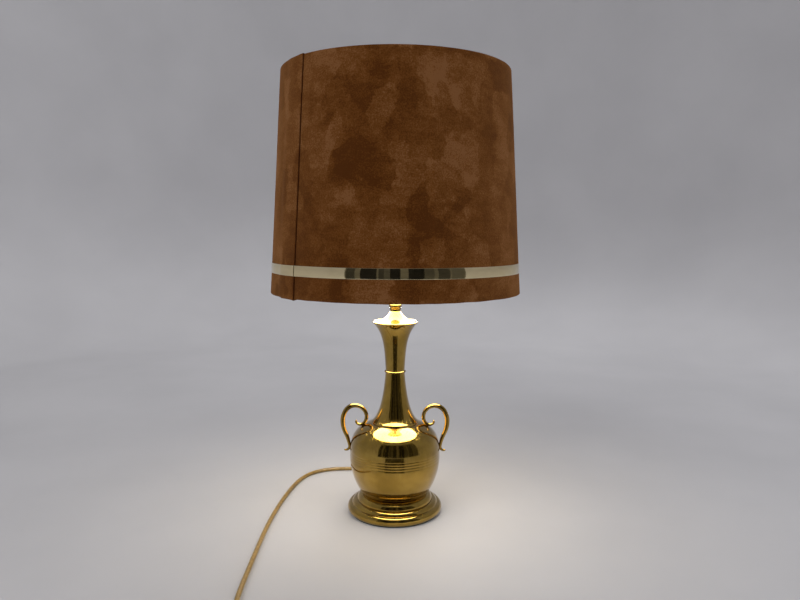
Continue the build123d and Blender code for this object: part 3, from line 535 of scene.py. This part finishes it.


# Dark suede of the lap's cut edge, which also stands in as painted shadow under the lap's step
def suede_edge_and_shadow():
    material, tree, shader = surface("suede_edge_and_shadow", Roughness=0.95)
    shader.inputs["Specular IOR Level"].default_value = 0.1
    tint(tree, shader, grain(tree, scale=300), SUEDE_EDGE_SHADOW_DARK, SUEDE_EDGE_SHADOW_LIGHT)
    relief(tree, shader, [(grain(tree, scale=900, detail=2), 0.4, 0.0004)])
    return material


def mirror_gold():
    material, tree, shader = surface("mirror_gold", Metallic=1.0)
    tint(tree, shader, grain(tree, scale=14), GOLD_DARK, GOLD_LIGHT)
    roughen(tree, shader, grain(tree, scale=120), low=0.025, high=0.06)
    relief(tree, shader, [(grain(tree, scale=16, detail=1, stretch=(1, 1, 0.4)), 0.12, 0.0008)])
    return material


def plain(name, dark, light, rough, scale, depth, metallic=0.0):
    """Two mottled tones, uneven gloss and a fine relief."""
    material, tree, shader = surface(name, Metallic=metallic)
    tint(tree, shader, grain(tree, scale, detail=4), dark, light)
    roughen(tree, shader, grain(tree, scale * PLAIN_GLOSS_SCALE, detail=4), *rough)
    relief(tree, shader, [(grain(tree, scale * PLAIN_RELIEF_SCALE), PLAIN_RELIEF_STRENGTH, depth)])
    return material


def lit(name, color, strength, rough):
    dimmer = [part * LIT_MOTTLE for part in color]
    material = plain(name, dimmer, color, rough, scale=60, depth=0.0001)
    shader = material.node_tree.nodes["Principled BSDF"]
    shader.inputs["Emission Color"].default_value = (*color, 1)
    shader.inputs["Emission Strength"].default_value = strength
    return material


slots = {
    "brass": polished_brass("brass", BRASS_DARK, BRASS_LIGHT, rough=(0.06, 0.13), lacquer=0.45),
    "contact_brass": polished_brass(
        "contact_brass", CONTACT_DARK, CONTACT_LIGHT, rough=(0.25, 0.38), lacquer=0.0
    ),
    "suede": suede(),
    "gold_band": mirror_gold(),
    "bulb_glass": lit("bulb_glass", BULB_GLOW, strength=12.0, rough=(0.25, 0.4)),
    "tungsten": lit("tungsten", TUNGSTEN_GLOW, strength=30.0, rough=(0.4, 0.5)),
}
# Slot, dark and light tones, range of roughness, scale of the mottle, relief in metres and metallic share
PLAIN_SLOTS = [
    ("felt", (0.010, 0.018, 0.010), (0.022, 0.034, 0.020), (0.9, 1.0), 300, 0.0006, 0.0),
    ("iron", (0.020, 0.020, 0.020), (0.045, 0.043, 0.042), (0.6, 0.85), 90, 0.0005, 0.6),
    ("zinc_steel", (0.42, 0.42, 0.44), (0.58, 0.58, 0.58), (0.25, 0.42), 80, 0.0001, 1.0),
    ("holder_plastic", (0.66, 0.63, 0.55), (0.73, 0.70, 0.62), (0.25, 0.38), 120, 0.0001, 0.0),
    ("porcelain", (0.66, 0.64, 0.58), (0.76, 0.74, 0.68), (0.35, 0.5), 90, 0.0001, 0.0),
    ("bulb_metal", (0.55, 0.55, 0.55), (0.70, 0.70, 0.70), (0.25, 0.4), 90, 0.0001, 1.0),
    ("lining", (0.74, 0.71, 0.64), (0.80, 0.77, 0.70), (0.45, 0.6), 40, 0.0002, 0.0),
    ("white_wire", (0.68, 0.67, 0.63), (0.77, 0.76, 0.72), (0.3, 0.45), 120, 0.0001, 0.0),
    ("flex", (0.20, 0.118, 0.022), (0.29, 0.180, 0.042), (0.26, 0.40), 160, 0.0002, 0.0),
    ("core", (0.10, 0.05, 0.02), (0.14, 0.07, 0.03), (0.4, 0.5), 120, 0.0001, 0.0),
    ("fitting_plastic", (0.040, 0.021, 0.009), (0.058, 0.031, 0.014), (0.28, 0.42), 140, 0.0001, 0.0),
    ("rocker_plastic", (0.016, 0.011, 0.008), (0.026, 0.019, 0.014), (0.35, 0.5), 160, 0.0001, 0.0),
    ("tie", (0.010, 0.009, 0.008), (0.020, 0.018, 0.016), (0.5, 0.65), 200, 0.0001, 0.0),
]
for name, *finish in PLAIN_SLOTS:
    slots[name] = plain(name, *finish)
for row in frame["record"]["subparts"]:
    mesh = nodes[row["node"]].data
    mesh.materials.clear()
    mesh.materials.append(slots[row["material_slot"]])


# Turned brass
def foot_outline(inset):
    def inward(point):
        return (point[0] - inset, max(point[1] - inset, FOOT_RIM[1]))

    first, second = inward(FIRST_STEP), inward(SECOND_STEP)
    rim = arc_through(inward(FOOT_RIM), inward(FOOT_BULGE), first, steps=28)
    lower_crown = bowed(first, second, FIRST_CROWN, steps=12)
    upper_crown = bowed(second, inward(FOOT_TOP), SECOND_CROWN, steps=14)
    return rim + lower_crown[1:] + upper_crown[1:]


def globe_outline(inset):
    base = (FOOT_TOP[0] - inset, FOOT_TOP[1] + inset)
    equator = (GLOBE_EQUATOR[0] - inset, GLOBE_EQUATOR[1])
    shoulder = (GLOBE_SHOULDER[0], GLOBE_SHOULDER[1] - inset)
    lower_pulls = (pulled(base, GLOBE_BASE_PULL), pulled(equator, (0, -GLOBE_BELLY_DROP)))
    upper_pulls = (pulled(equator, (0, GLOBE_BELLY_RISE)), pulled(shoulder, GLOBE_SHOULDER_PULL))
    lower = bezier(base, *lower_pulls, equator, steps=40)
    return lower + bezier(equator, *upper_pulls, shoulder, steps=44)[1:]


def scribed(outline):
    """Outline with a small groove at each scribed line."""
    places = dict((height, radius) for radius, height in outline)
    heights = sorted(places)

    def radius_at(height):
        above = next(index for index, value in enumerate(heights) if value >= height)
        low, high = heights[above - 1], heights[above]
        share = (height - low) / (high - low)
        return places[low] + (places[high] - places[low]) * share

    def clear(point):
        return min(abs(point[1] - line) for line in SCRIBE_LINES) > SCRIBE_CLEARANCE

    grooved = [point for point in outline if clear(point)]
    for line in SCRIBE_LINES:
        for step, depth in SCRIBE_PROFILE:
            height = line + step * SCRIBE_HALF_WIDTH
            grooved.append((radius_at(height) - depth * SCRIBE_DEPTH, height))
    return sorted(grooved, key=lambda point: point[1])


brass = slots["brass"]
foot_walls = foot_outline(0) + [(STEM_HOLE, FOOT_TOP[1]), (STEM_HOLE, FOOT_TOP[1] - WALL)]
turned("foot_turned", foot_walls + foot_outline(WALL)[::-1], "foot", brass)

globe_ceiling = [(STEM_HOLE, GLOBE_SHOULDER[1]), (STEM_HOLE, GLOBE_SHOULDER[1] - WALL)]
globe_walls = scribed(globe_outline(0)) + globe_ceiling
globe_floor = [(STEM_HOLE, FOOT_TOP[1] + WALL), (STEM_HOLE, FOOT_TOP[1])]
turned("globe_turned", globe_walls + globe_outline(WALL)[::-1] + globe_floor, "globe", brass)


def lower_neck(inset):
    foot = (NECK_FOOT[0] - inset, NECK_FOOT[1])
    start = (foot[0], foot[1] + NECK_FOOT_EDGE - inset / 2)
    end = (NECK_THROAT[0] - inset, NECK_THROAT[1])
    pulls = (pulled(start, NECK_FLARE_PULL), pulled(end, NECK_THROAT_PULL))
    return [foot] + bezier(start, *pulls, end, steps=48)


turned("neck_lower_turned", lower_neck(0) + lower_neck(WALL)[::-1], "neck_lower", brass)
ring_round = NECK_RING_HEIGHT / 2
ring_center = (NECK_RING_RADIUS - ring_round, NECK_THROAT[1] + ring_round)
ring_walls = bead(ring_center, ring_round, -90, 90, steps=20)
ring_bore = [(STEM_HOLE, ring_center[1] + ring_round), (STEM_HOLE, ring_center[1] - ring_round)]
turned("neck_ring_turned", ring_walls + ring_bore, "neck_ring", brass)

lip_round = LIP_THICKNESS / 2
lip_center = (LIP_RADIUS - lip_round, LIP_TOP - lip_round)
flare_end = (lip_center[0], lip_center[1] - lip_round)
flare_pulls = (pulled(UPPER_THROAT, UPPER_THROAT_PULL), pulled(flare_end, UPPER_FLARE_PULL))
flare = bezier(UPPER_THROAT, *flare_pulls, flare_end, steps=48)
lip = bead(lip_center, lip_round, -90, 180, steps=26)[1:]
inner_start = (UPPER_THROAT[0] - WALL, UPPER_THROAT[1])
ledge = (CAP_LEDGE, CAP_SEAT)
inner_pulls = (pulled(inner_start, UPPER_THROAT_PULL), pulled(ledge, UPPER_FLARE_PULL))
inner_flare = bezier(inner_start, *inner_pulls, ledge, steps=30)
mouth_step = [(lip[-1][0], CAP_SEAT)]
turned("neck_upper_turned", flare + lip + mouth_step + inner_flare[::-1], "neck_upper", brass)

cap_slope = bowed(CAP_RIM, CAP_PEAK, -CAP_SAG, steps=32)
cap_under = bowed(ledge, (STEM_HOLE, CAP_PEAK[1] - WALL), -CAP_SAG, steps=24)
cap_walls = [(CAP_RIM[0], CAP_SEAT)] + cap_slope + [(STEM_HOLE, CAP_PEAK[1])]
turned("mouth_cap_turned", cap_walls + cap_under[::-1], "mouth_cap", brass)

groove_radius, groove_height = COLLAR_GROOVE
collar_side = COLLAR_RADIUS - COLLAR_SETBACK
collar_foot = (COLLAR_FOOT_RADIUS, CAP_PEAK[1])
flare_top = (collar_side, groove_height - COLLAR_FLARE_GAP)
bead_foot = (collar_side, groove_height + GROOVE_LIP)
bead_top = (COLLAR_RADIUS - COLLAR_CHAMFER, COLLAR_TOP)
groove_walls = [
    (collar_side, groove_height - GROOVE_LIP),
    (groove_radius, groove_height - GROOVE_HALF_WIDTH),
    (groove_radius, groove_height + GROOVE_HALF_WIDTH),
]
collar_walls = [(STEM_HOLE, CAP_PEAK[1])]
collar_walls += bowed(collar_foot, flare_top, -COLLAR_FLARE_SAG, steps=10)
collar_walls += groove_walls
collar_walls += bowed(bead_foot, bead_top, COLLAR_CHAMFER, steps=14)
collar_walls += [(STEM_HOLE, COLLAR_TOP)]
turned("collar_turned", collar_walls, "collar", brass)


# Shade
def shade_radius(height):
    return SHADE_BOTTOM[0] + (SHADE_TOP_RADIUS - SHADE_BOTTOM[0]) * height / SHADE_HEIGHT


def smooth(share):
    share = min(max(share, 0), 1)
    return share * share * (3 - 2 * share)


def strip(name, rows, first_bearing, last_bearing, shift):
    """Open sheet of rows of (outset, height) carried round the shade between two bearings."""
    points = []
    faces = []
    count = len(rows)
    for step in range(SHADE_STEPS + 1):
        bearing = first_bearing + (last_bearing - first_bearing) * step / SHADE_STEPS
        left = math.radians(last_bearing - bearing) * SHADE_BOTTOM[0]
        for outset, height in rows:
            angle = math.radians(bearing + SEAM_SLANT * height / SHADE_HEIGHT)
            lift, climb = shift(left, angle, height)
            radius = shade_radius(height) + outset + lift
            level = SHADE_BOTTOM[1] + height + climb
            points.append((radius * math.cos(angle), radius * math.sin(angle), level))
    for step in range(SHADE_STEPS):
        for row in range(count - 1):
            here = step * count + row
            beyond = here + count
            faces.append((here, beyond, beyond + 1, here + 1))
    return new_piece(name, points, faces, SHEET_SHARP_DEGREES)


def ring_noise(angle, waves, slice_height):
    return noise.noise(Vector((math.cos(angle) * waves, math.sin(angle) * waves, slice_height)))


def cover_wave(angle, height):
    wave = ring_noise(angle, COVER_WAVES_ROUND, height / COVER_WAVE_HEIGHT)
    return COVER_WAVE * (wave - COVER_WAVE_SETBACK)


def cover_shift(left, angle, height):
    """Lap at the seam, soft waves in the cloth, and the uneven edges of the lap."""
    lap = 1 - smooth((left - SEAM_LAP) / SEAM_EASE)
    lift = SEAM_RISE * lap + cover_wave(angle, height)
    hem = 1 - min(height / HEM_ZONE, 1)
    top = 1 - min((SHADE_HEIGHT - height) / HEM_ZONE, 1)
    corner = math.exp(-((left / LAP_CORNER) ** 2))
    sway = HEM_SWAY * ring_noise(angle, HEM_SWAYS_ROUND, HEM_SWAY_SLICE)
    drop = LAP_HEM_DROP * (1 - smooth((left - SEAM_LAP) / LAP_HEM_STEP))
    drop += LAP_TIP_DROP * math.exp(-((left / LAP_TIP_WIDTH) ** 2))
    return lift, hem * (sway - drop) + top * LAP_TOP_RISE * corner


hem_rows = [
    (-HEM_TURN_IN, HEM_ROUND),
    (-2 * HEM_ROUND, 0),
    (-HEM_ROUND / 2, HEM_ROUND / 5),
    (0, HEM_ROUND),
]
wall_rows = [(0, SHADE_HEIGHT * level / COVER_LEVELS) for level in range(1, COVER_LEVELS)]
top_rows = [(outset, SHADE_HEIGHT - height) for outset, height in hem_rows[::-1]]
cover_rows = hem_rows + wall_rows + top_rows
cover_start = SEAM_BEARING - math.degrees(SEAM_LAP / SHADE_BOTTOM[0])
cover = strip("suede_cover", cover_rows, cover_start, SEAM_BEARING + 360, cover_shift)
thick = cover.modifiers.new("cloth", "SOLIDIFY")
thick.thickness = COVER_THICKNESS * MM
thick.offset = -1
cover.data.materials.append(slots["suede"])
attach(cover, "shade")
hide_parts("shade_cover")


def lap_edge_and_shadow():
    """Dark cut edge of the lap together with painted shadow at the foot of the lap's step, as a thin bead
    that wanders a little.
    """
    sides, levels = SEAM_EDGE_SIDES, SEAM_EDGE_LEVELS
    points = []
    faces = []
    for level in range(levels + 1):
        height = SHADE_HEIGHT * level / levels
        wander = SEAM_WANDER * noise.noise(Vector((height / SEAM_WANDER_LENGTH, *SEAM_WANDER_SLICE)))
        angle = math.radians(SEAM_BEARING + SEAM_SLANT * height / SHADE_HEIGHT)
        angle += (SEAM_EDGE_RADIUS / 2 + wander) / SHADE_BOTTOM[0]
        radius = shade_radius(height) + cover_wave(angle, height) + SEAM_EDGE_RADIUS / 2
        swell = SEAM_SWELL * noise.noise(Vector((height / SEAM_SWELL_LENGTH, *SEAM_SWELL_SLICE)))
        around = SEAM_EDGE_RADIUS * (1 + swell)
        for side in range(sides):
            turn = 2 * math.pi * side / sides
            out = radius + around * math.cos(turn)
            bearing = angle + around * math.sin(turn) / SHADE_BOTTOM[0]
            points.append((out * math.cos(bearing), out * math.sin(bearing), SHADE_BOTTOM[1] + height))
    for level in range(levels):
        for side in range(sides):
            here, beyond = level * sides + side, level * sides + (side + 1) % sides
            faces.append((here, beyond, beyond + sides, here + sides))
    faces.append(tuple(range(sides - 1, -1, -1)))
    faces.append(tuple(levels * sides + side for side in range(sides)))
    return new_piece("suede_seam", points, faces)


# Bead along the seam: the lap's cut edge and a painted shadow at the step's foot
seam = lap_edge_and_shadow()
seam.data.materials.append(suede_edge_and_shadow())
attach(seam, "shade")


def band_shift(left, angle, height):
    """The strip lies on the cover, rides over its lap, and its end lies on its start."""
    bearing = math.degrees(angle) - SEAM_SLANT * height / SHADE_HEIGHT
    past_seam = math.radians(math.remainder(bearing - SEAM_BEARING, 360)) * SHADE_BOTTOM[0]
    if past_seam > 0:
        lap = 1 - smooth(past_seam / BAND_EASE)
    else:
        lap = 1 - smooth((-past_seam - SEAM_LAP) / SEAM_EASE)
    end = BAND_END_RISE * (1 - smooth(left / BAND_END_EASE))
    return SEAM_RISE * lap + end, 0.0


band_edge_outset = BAND_OUTSET * BAND_EDGE_SHARE
band_rows = [
    (0, BAND_ABOVE_HEM),
    (band_edge_outset, BAND_ABOVE_HEM + BAND_EDGE / 3),
    (BAND_OUTSET, BAND_ABOVE_HEM + BAND_EDGE),
    (BAND_OUTSET, BAND_ABOVE_HEM + BAND_HEIGHT / 2),
    (BAND_OUTSET, BAND_ABOVE_HEM + BAND_HEIGHT - BAND_EDGE),
    (band_edge_outset, BAND_ABOVE_HEM + BAND_HEIGHT - BAND_EDGE / 3),
    (0, BAND_ABOVE_HEM + BAND_HEIGHT),
]
band_end = BAND_JOINT_BEARING + 360 + BAND_LAP
band = strip("gold_band", band_rows, BAND_JOINT_BEARING, band_end, band_shift)
band_thick = band.modifiers.new("metal", "SOLIDIFY")
band_thick.thickness = BAND_THICKNESS * MM
band_thick.offset = -1
band.data.materials.append(slots["gold_band"])
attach(band, "shade")
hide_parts("shade_band")

# Cord: the lamp's lead, through the switch, round the coil and on to the plug
lead_route = [
    CORD_EXIT,
    (0, 118.4, 8),
    (-11, 145, 5),
    (-38, 161, CORD_HEIGHT),
    (-78, 162, CORD_HEIGHT),
    (-116, 157.5, CORD_HEIGHT),
    (-143, 138, CORD_HEIGHT),
    (-158, 103, CORD_HEIGHT),
    (-167, 50, CORD_HEIGHT),
    (-173, -12, CORD_HEIGHT),
    (-175.5, -75, CORD_HEIGHT),
    (-175, -140, CORD_HEIGHT),
    (-174.3, -192, CORD_HEIGHT),
    (-173.5, -236, CORD_HEIGHT),
    (-171.5, -267, CORD_HEIGHT),
    (-164, -291, 4),
    (-148.5, -305, 5.5),
    (-131, -310, 7),
    SWITCH_LEFT,
]
link_route = [
    SWITCH_RIGHT,
    (-35, -310, 7),
    (-13.4, -322.8, 5.2),
    (-3.8, -344.2, COIL_HEIGHT),
    (18.2, -357.6, COIL_HEIGHT),
]
tail_route = [
    (65.8, -357.4, 10.05),
    (79.8, -357.7, 7),
    (93.8, -357.7, 7),
]
coil_layer = 2 * math.pi * COIL_LAYER_TURNS
coil_total = 2 * coil_layer + math.pi


def coil_place(angle):
    """Radius and height: spirals in on the table, climbs a layer in half a turn and spirals out on top."""
    rate = COIL_PITCH / (2 * math.pi)
    inner = COIL_RADIUS - COIL_PITCH * COIL_LAYER_TURNS
    climb = angle - coil_layer
    if climb <= 0:
        radius = COIL_RADIUS - rate * angle
    elif climb < math.pi:
        radius = inner + rate * (climb * climb / math.pi - climb)
    else:
        radius = inner + rate * (climb - math.pi)
    return radius, COIL_HEIGHT + COIL_RISE * smooth(climb / math.pi)


def coil_points():
    steps = round(coil_total / (2 * math.pi) * COIL_POINTS_A_TURN)
    points = []
    for step in range(steps + 1):
        angle = coil_total * step / steps
        radius, height = coil_place(angle)
        radius /= math.cos(math.pi / COIL_POINTS_A_TURN)
        bearing = angle - math.pi / 2
        x = COIL_CENTER[0] + radius * math.cos(bearing)
        y = COIL_CENTER[1] + radius * math.sin(bearing)
        points.append((x, y, height))
    return points


cord_route = lead_route + link_route + coil_points() + tail_route
cord_curve = bpy.data.curves.new("mains_cord", "CURVE")
cord_curve.dimensions = "3D"
cord_curve.bevel_depth = CORD_DIAMETER / 2 * MM
cord_curve.bevel_resolution = 5
cord_curve.resolution_u = 8
cord_curve.use_fill_caps = True
spline = cord_curve.splines.new("NURBS")
spline.points.add(len(cord_route) - 1)
for spot, point in zip(spline.points, cord_route):
    spot.co = (point[0] * MM, point[1] * MM, point[2] * MM, 1)
spline.order_u = 3
spline.use_endpoint_u = True
cord = bpy.data.objects.new("mains_cord", cord_curve)
bpy.context.scene.collection.objects.link(cord)
cord_curve.materials.append(slots["flex"])
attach(cord, "lamp")
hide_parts("cord_lead", "cord_link", "cord_coil", "cord_tail")


def coil_strap():
    """Strap drawn tight round the coil's turns, with its end lying on its start."""
    bearing = math.radians(STRAP_BEARING)
    angle = (bearing + math.pi / 2) % (2 * math.pi)
    turns = []
    while angle < coil_total:
        turns.append(coil_place(angle))
        angle += 2 * math.pi
    corners = ((0, -1), (0, 1), (STRAP_THICKNESS, 1), (STRAP_THICKNESS, -1))
    count = len(corners)
    points = []
    faces = []
    for step in range(STRAP_STEPS + 1):
        degrees = STRAP_START + STRAP_SWEEP * step / STRAP_STEPS
        outward = (math.cos(math.radians(degrees)), math.sin(math.radians(degrees)))
        turn = max(turns, key=lambda place: place[0] * outward[0] + place[1] * outward[1])
        lap = (STRAP_THICKNESS + STRAP_EASE) * smooth((degrees - STRAP_LAP_START) / STRAP_LAP_EASE)
        for thickness, side in corners:
            reach = CORD_DIAMETER / 2 + STRAP_EASE + lap + thickness
            radius, height = turn[0] + reach * outward[0], turn[1] + reach * outward[1]
            across = side * STRAP_WIDTH / 2
            x = COIL_CENTER[0] + radius * math.cos(bearing) - across * math.sin(bearing)
            y = COIL_CENTER[1] + radius * math.sin(bearing) + across * math.cos(bearing)
            points.append((x, y, height))
    for step in range(STRAP_STEPS):
        for corner in range(count):
            here, beyond = count * step + corner, count * step + (corner + 1) % count
            faces.append((here, beyond, beyond + count, here + count))
    faces.append(tuple(range(count - 1, -1, -1)))
    faces.append(tuple(count * STRAP_STEPS + corner for corner in range(count)))
    return new_piece("coil_strap", points, faces)


strap = coil_strap()
strap.data.materials.append(slots["tie"])
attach(strap, "lamp")
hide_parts("cord_tie")


# Round floor that curves up into a backdrop on every side
def studio_bowl():
    outline = [(ring, 0) for ring in BOWL_RINGS]
    for step in range(BOWL_BEND_STEPS + 1):
        angle = math.pi / 2 * step / BOWL_BEND_STEPS
        outline.append((BOWL_FLOOR + BOWL_BEND * math.sin(angle), BOWL_BEND - BOWL_BEND * math.cos(angle)))
    outline.append((BOWL_FLOOR + BOWL_BEND, BOWL_TOP))
    count = len(outline)
    points = [(0, 0, 0)]
    faces = []
    for step in range(BOWL_STEPS):
        angle = 2 * math.pi * step / BOWL_STEPS
        for radius, height in outline:
            points.append((radius * math.cos(angle), radius * math.sin(angle), height))
        here, beyond = 1 + step * count, 1 + (step + 1) % BOWL_STEPS * count
        faces.append((0, here, beyond))
        for row in range(count - 1):
            faces.append((here + row, here + row + 1, beyond + row + 1, beyond + row))
    return new_piece("studio_bowl", points, faces)


floor = studio_bowl()
pale_floor = plain("pale_floor", FLOOR_DARK, FLOOR_LIGHT, rough=(0.6, 0.75), scale=3, depth=0.0002)
floor.data.materials.append(pale_floor)
floor_shader = pale_floor.node_tree.nodes["Principled BSDF"]
floor_shader.inputs["Specular IOR Level"].default_value = 0.0
floor.visible_shadow = False


# Dark cards round the camera's side of the room, which only the metal's reflections see
def dark_card(name, bearings, edges, tone):
    """Strip between two edges of (distance, height), carried round the lamp between two bearings."""
    first, last = bearings
    points = []
    faces = []
    for step in range(CARD_STEPS + 1):
        angle = math.radians(first + (last - first) * step / CARD_STEPS)
        for distance, height in edges:
            points.append((distance * math.cos(angle), distance * math.sin(angle), height))
    for step in range(CARD_STEPS):
        faces.append((2 * step, 2 * step + 1, 2 * step + 3, 2 * step + 2))
    card = new_piece(name, points, faces)
    darker = [part * CARD_MOTTLE for part in tone]
    card.data.materials.append(plain(name, darker, tone, rough=(0.8, 0.9), scale=2, depth=0.0002))
    card.visible_camera = False
    card.visible_diffuse = False
    card.visible_shadow = False


dark_card("room_card", ROOM_CARD_BEARINGS, ROOM_CARD_EDGES, ROOM_CARD_TONE)
for number, (first, last, top, level) in enumerate(CARDS):
    card_edges = ((CARD_DISTANCE, CARD_FOOT), (CARD_DISTANCE, top))
    dark_card(f"card_{number}", (first, last), card_edges, [level * part for part in CARD_TINT])
dark_card("card_floor", FLOOR_CARD_BEARINGS, FLOOR_CARD_EDGES, FLOOR_CARD_TONE)


# Lights: soft boxes, and the warm light that falls out of the lit shade
def softbox(name, place, size, power, color):
    light = bpy.data.lights.new(name, "AREA")
    light.size = size
    light.energy = power
    light.color = color
    lamp = bpy.data.objects.new(name, light)
    lamp.location = place
    lamp.rotation_euler = (Vector(LIGHT_AIM) - Vector(place)).to_track_quat("-Z", "Y").to_euler()
    lamp.visible_glossy = False
    lamp.visible_camera = False
    bpy.context.scene.collection.objects.link(lamp)


for box in SOFTBOXES:
    softbox(*box)


def mouth_light(name, rise, power, color):
    light = bpy.data.lights.new(name, "AREA")
    light.shape = "DISK"
    light.size = 2 * MOUTH_LIGHT_RADIUS * MM
    light.energy = power
    light.color = color
    lamp = bpy.data.objects.new(name, light)
    lamp.location = (0, 0, (SHADE_BOTTOM[1] + rise) * MM)
    lamp.visible_camera = False
    bpy.context.scene.collection.objects.link(lamp)
    return lamp


# The glow lights surfaces, and the shine is what polished metal mirrors
glow = mouth_light("shade_mouth", MOUTH_GLOW_RISE, MOUTH_GLOW_WATTS, BULB_GLOW)
glow.data.spread = math.radians(MOUTH_GLOW_SPREAD)
glow.visible_glossy = False
shine = mouth_light("shade_shine", -MOUTH_SHINE_DROP, MOUTH_SHINE_WATTS, MOUTH_SHINE_COLOR)
shine.visible_diffuse = False

# World: the backdrop for what is seen straight, mirrored or through glass, and an even light for the rest
world = bpy.data.worlds.new("studio")
bpy.context.scene.world = world
world.use_nodes = True
sky = world.node_tree
sky.nodes.clear()
paths = sky.nodes.new("ShaderNodeLightPath")
seen = sky.nodes.new("ShaderNodeMath")
seen.operation = "MAXIMUM"
through = sky.nodes.new("ShaderNodeMath")
through.operation = "MAXIMUM"
sky.links.new(paths.outputs["Is Camera Ray"], seen.inputs[0])
sky.links.new(paths.outputs["Is Glossy Ray"], seen.inputs[1])
sky.links.new(seen.outputs["Value"], through.inputs[0])
sky.links.new(paths.outputs["Is Transmission Ray"], through.inputs[1])
direction = sky.nodes.new("ShaderNodeTexCoord")
split = sky.nodes.new("ShaderNodeSeparateXYZ")
slope = sky.nodes.new("ShaderNodeMapRange")
slope.inputs["From Min"].default_value = SKY_SLOPES[0]
slope.inputs["From Max"].default_value = SKY_SLOPES[1]
backdrop = sky.nodes.new("ShaderNodeValToRGB")
backdrop.color_ramp.elements[0].color = SKY_LOW
backdrop.color_ramp.elements[1].color = SKY_HIGH
sky.links.new(direction.outputs["Generated"], split.inputs["Vector"])
sky.links.new(split.outputs["Z"], slope.inputs["Value"])
sky.links.new(slope.outputs["Result"], backdrop.inputs["Fac"])
shown = sky.nodes.new("ShaderNodeBackground")
sky.links.new(backdrop.outputs["Color"], shown.inputs["Color"])
ambient = sky.nodes.new("ShaderNodeBackground")
ambient.inputs["Color"].default_value = AMBIENT_COLOR
ambient.inputs["Strength"].default_value = AMBIENT_STRENGTH
choose = sky.nodes.new("ShaderNodeMixShader")
output = sky.nodes.new("ShaderNodeOutputWorld")
sky.links.new(through.outputs["Value"], choose.inputs["Fac"])
sky.links.new(ambient.outputs["Background"], choose.inputs[1])
sky.links.new(shown.outputs["Background"], choose.inputs[2])
sky.links.new(choose.outputs["Shader"], output.inputs["Surface"])

# Camera
view = bpy.data.cameras.new("photo_view")
view.sensor_width = SENSOR_WIDTH
view.lens = FOCAL_PIXELS / PHOTO_WIDTH * SENSOR_WIDTH
camera = bpy.data.objects.new("photo_view", view)
tilt = Matrix.Rotation(math.radians(90 - CAMERA_PITCH), 4, "X")
roll = Matrix.Rotation(math.radians(CAMERA_ROLL), 4, "Z")
camera.matrix_world = Matrix.Translation([value * MM for value in CAMERA_PLACE]) @ tilt @ roll
bpy.context.scene.collection.objects.link(camera)
bpy.context.scene.camera = camera
bpy.context.scene.view_settings.view_transform = "Standard"

bpy.context.view_layer.update()
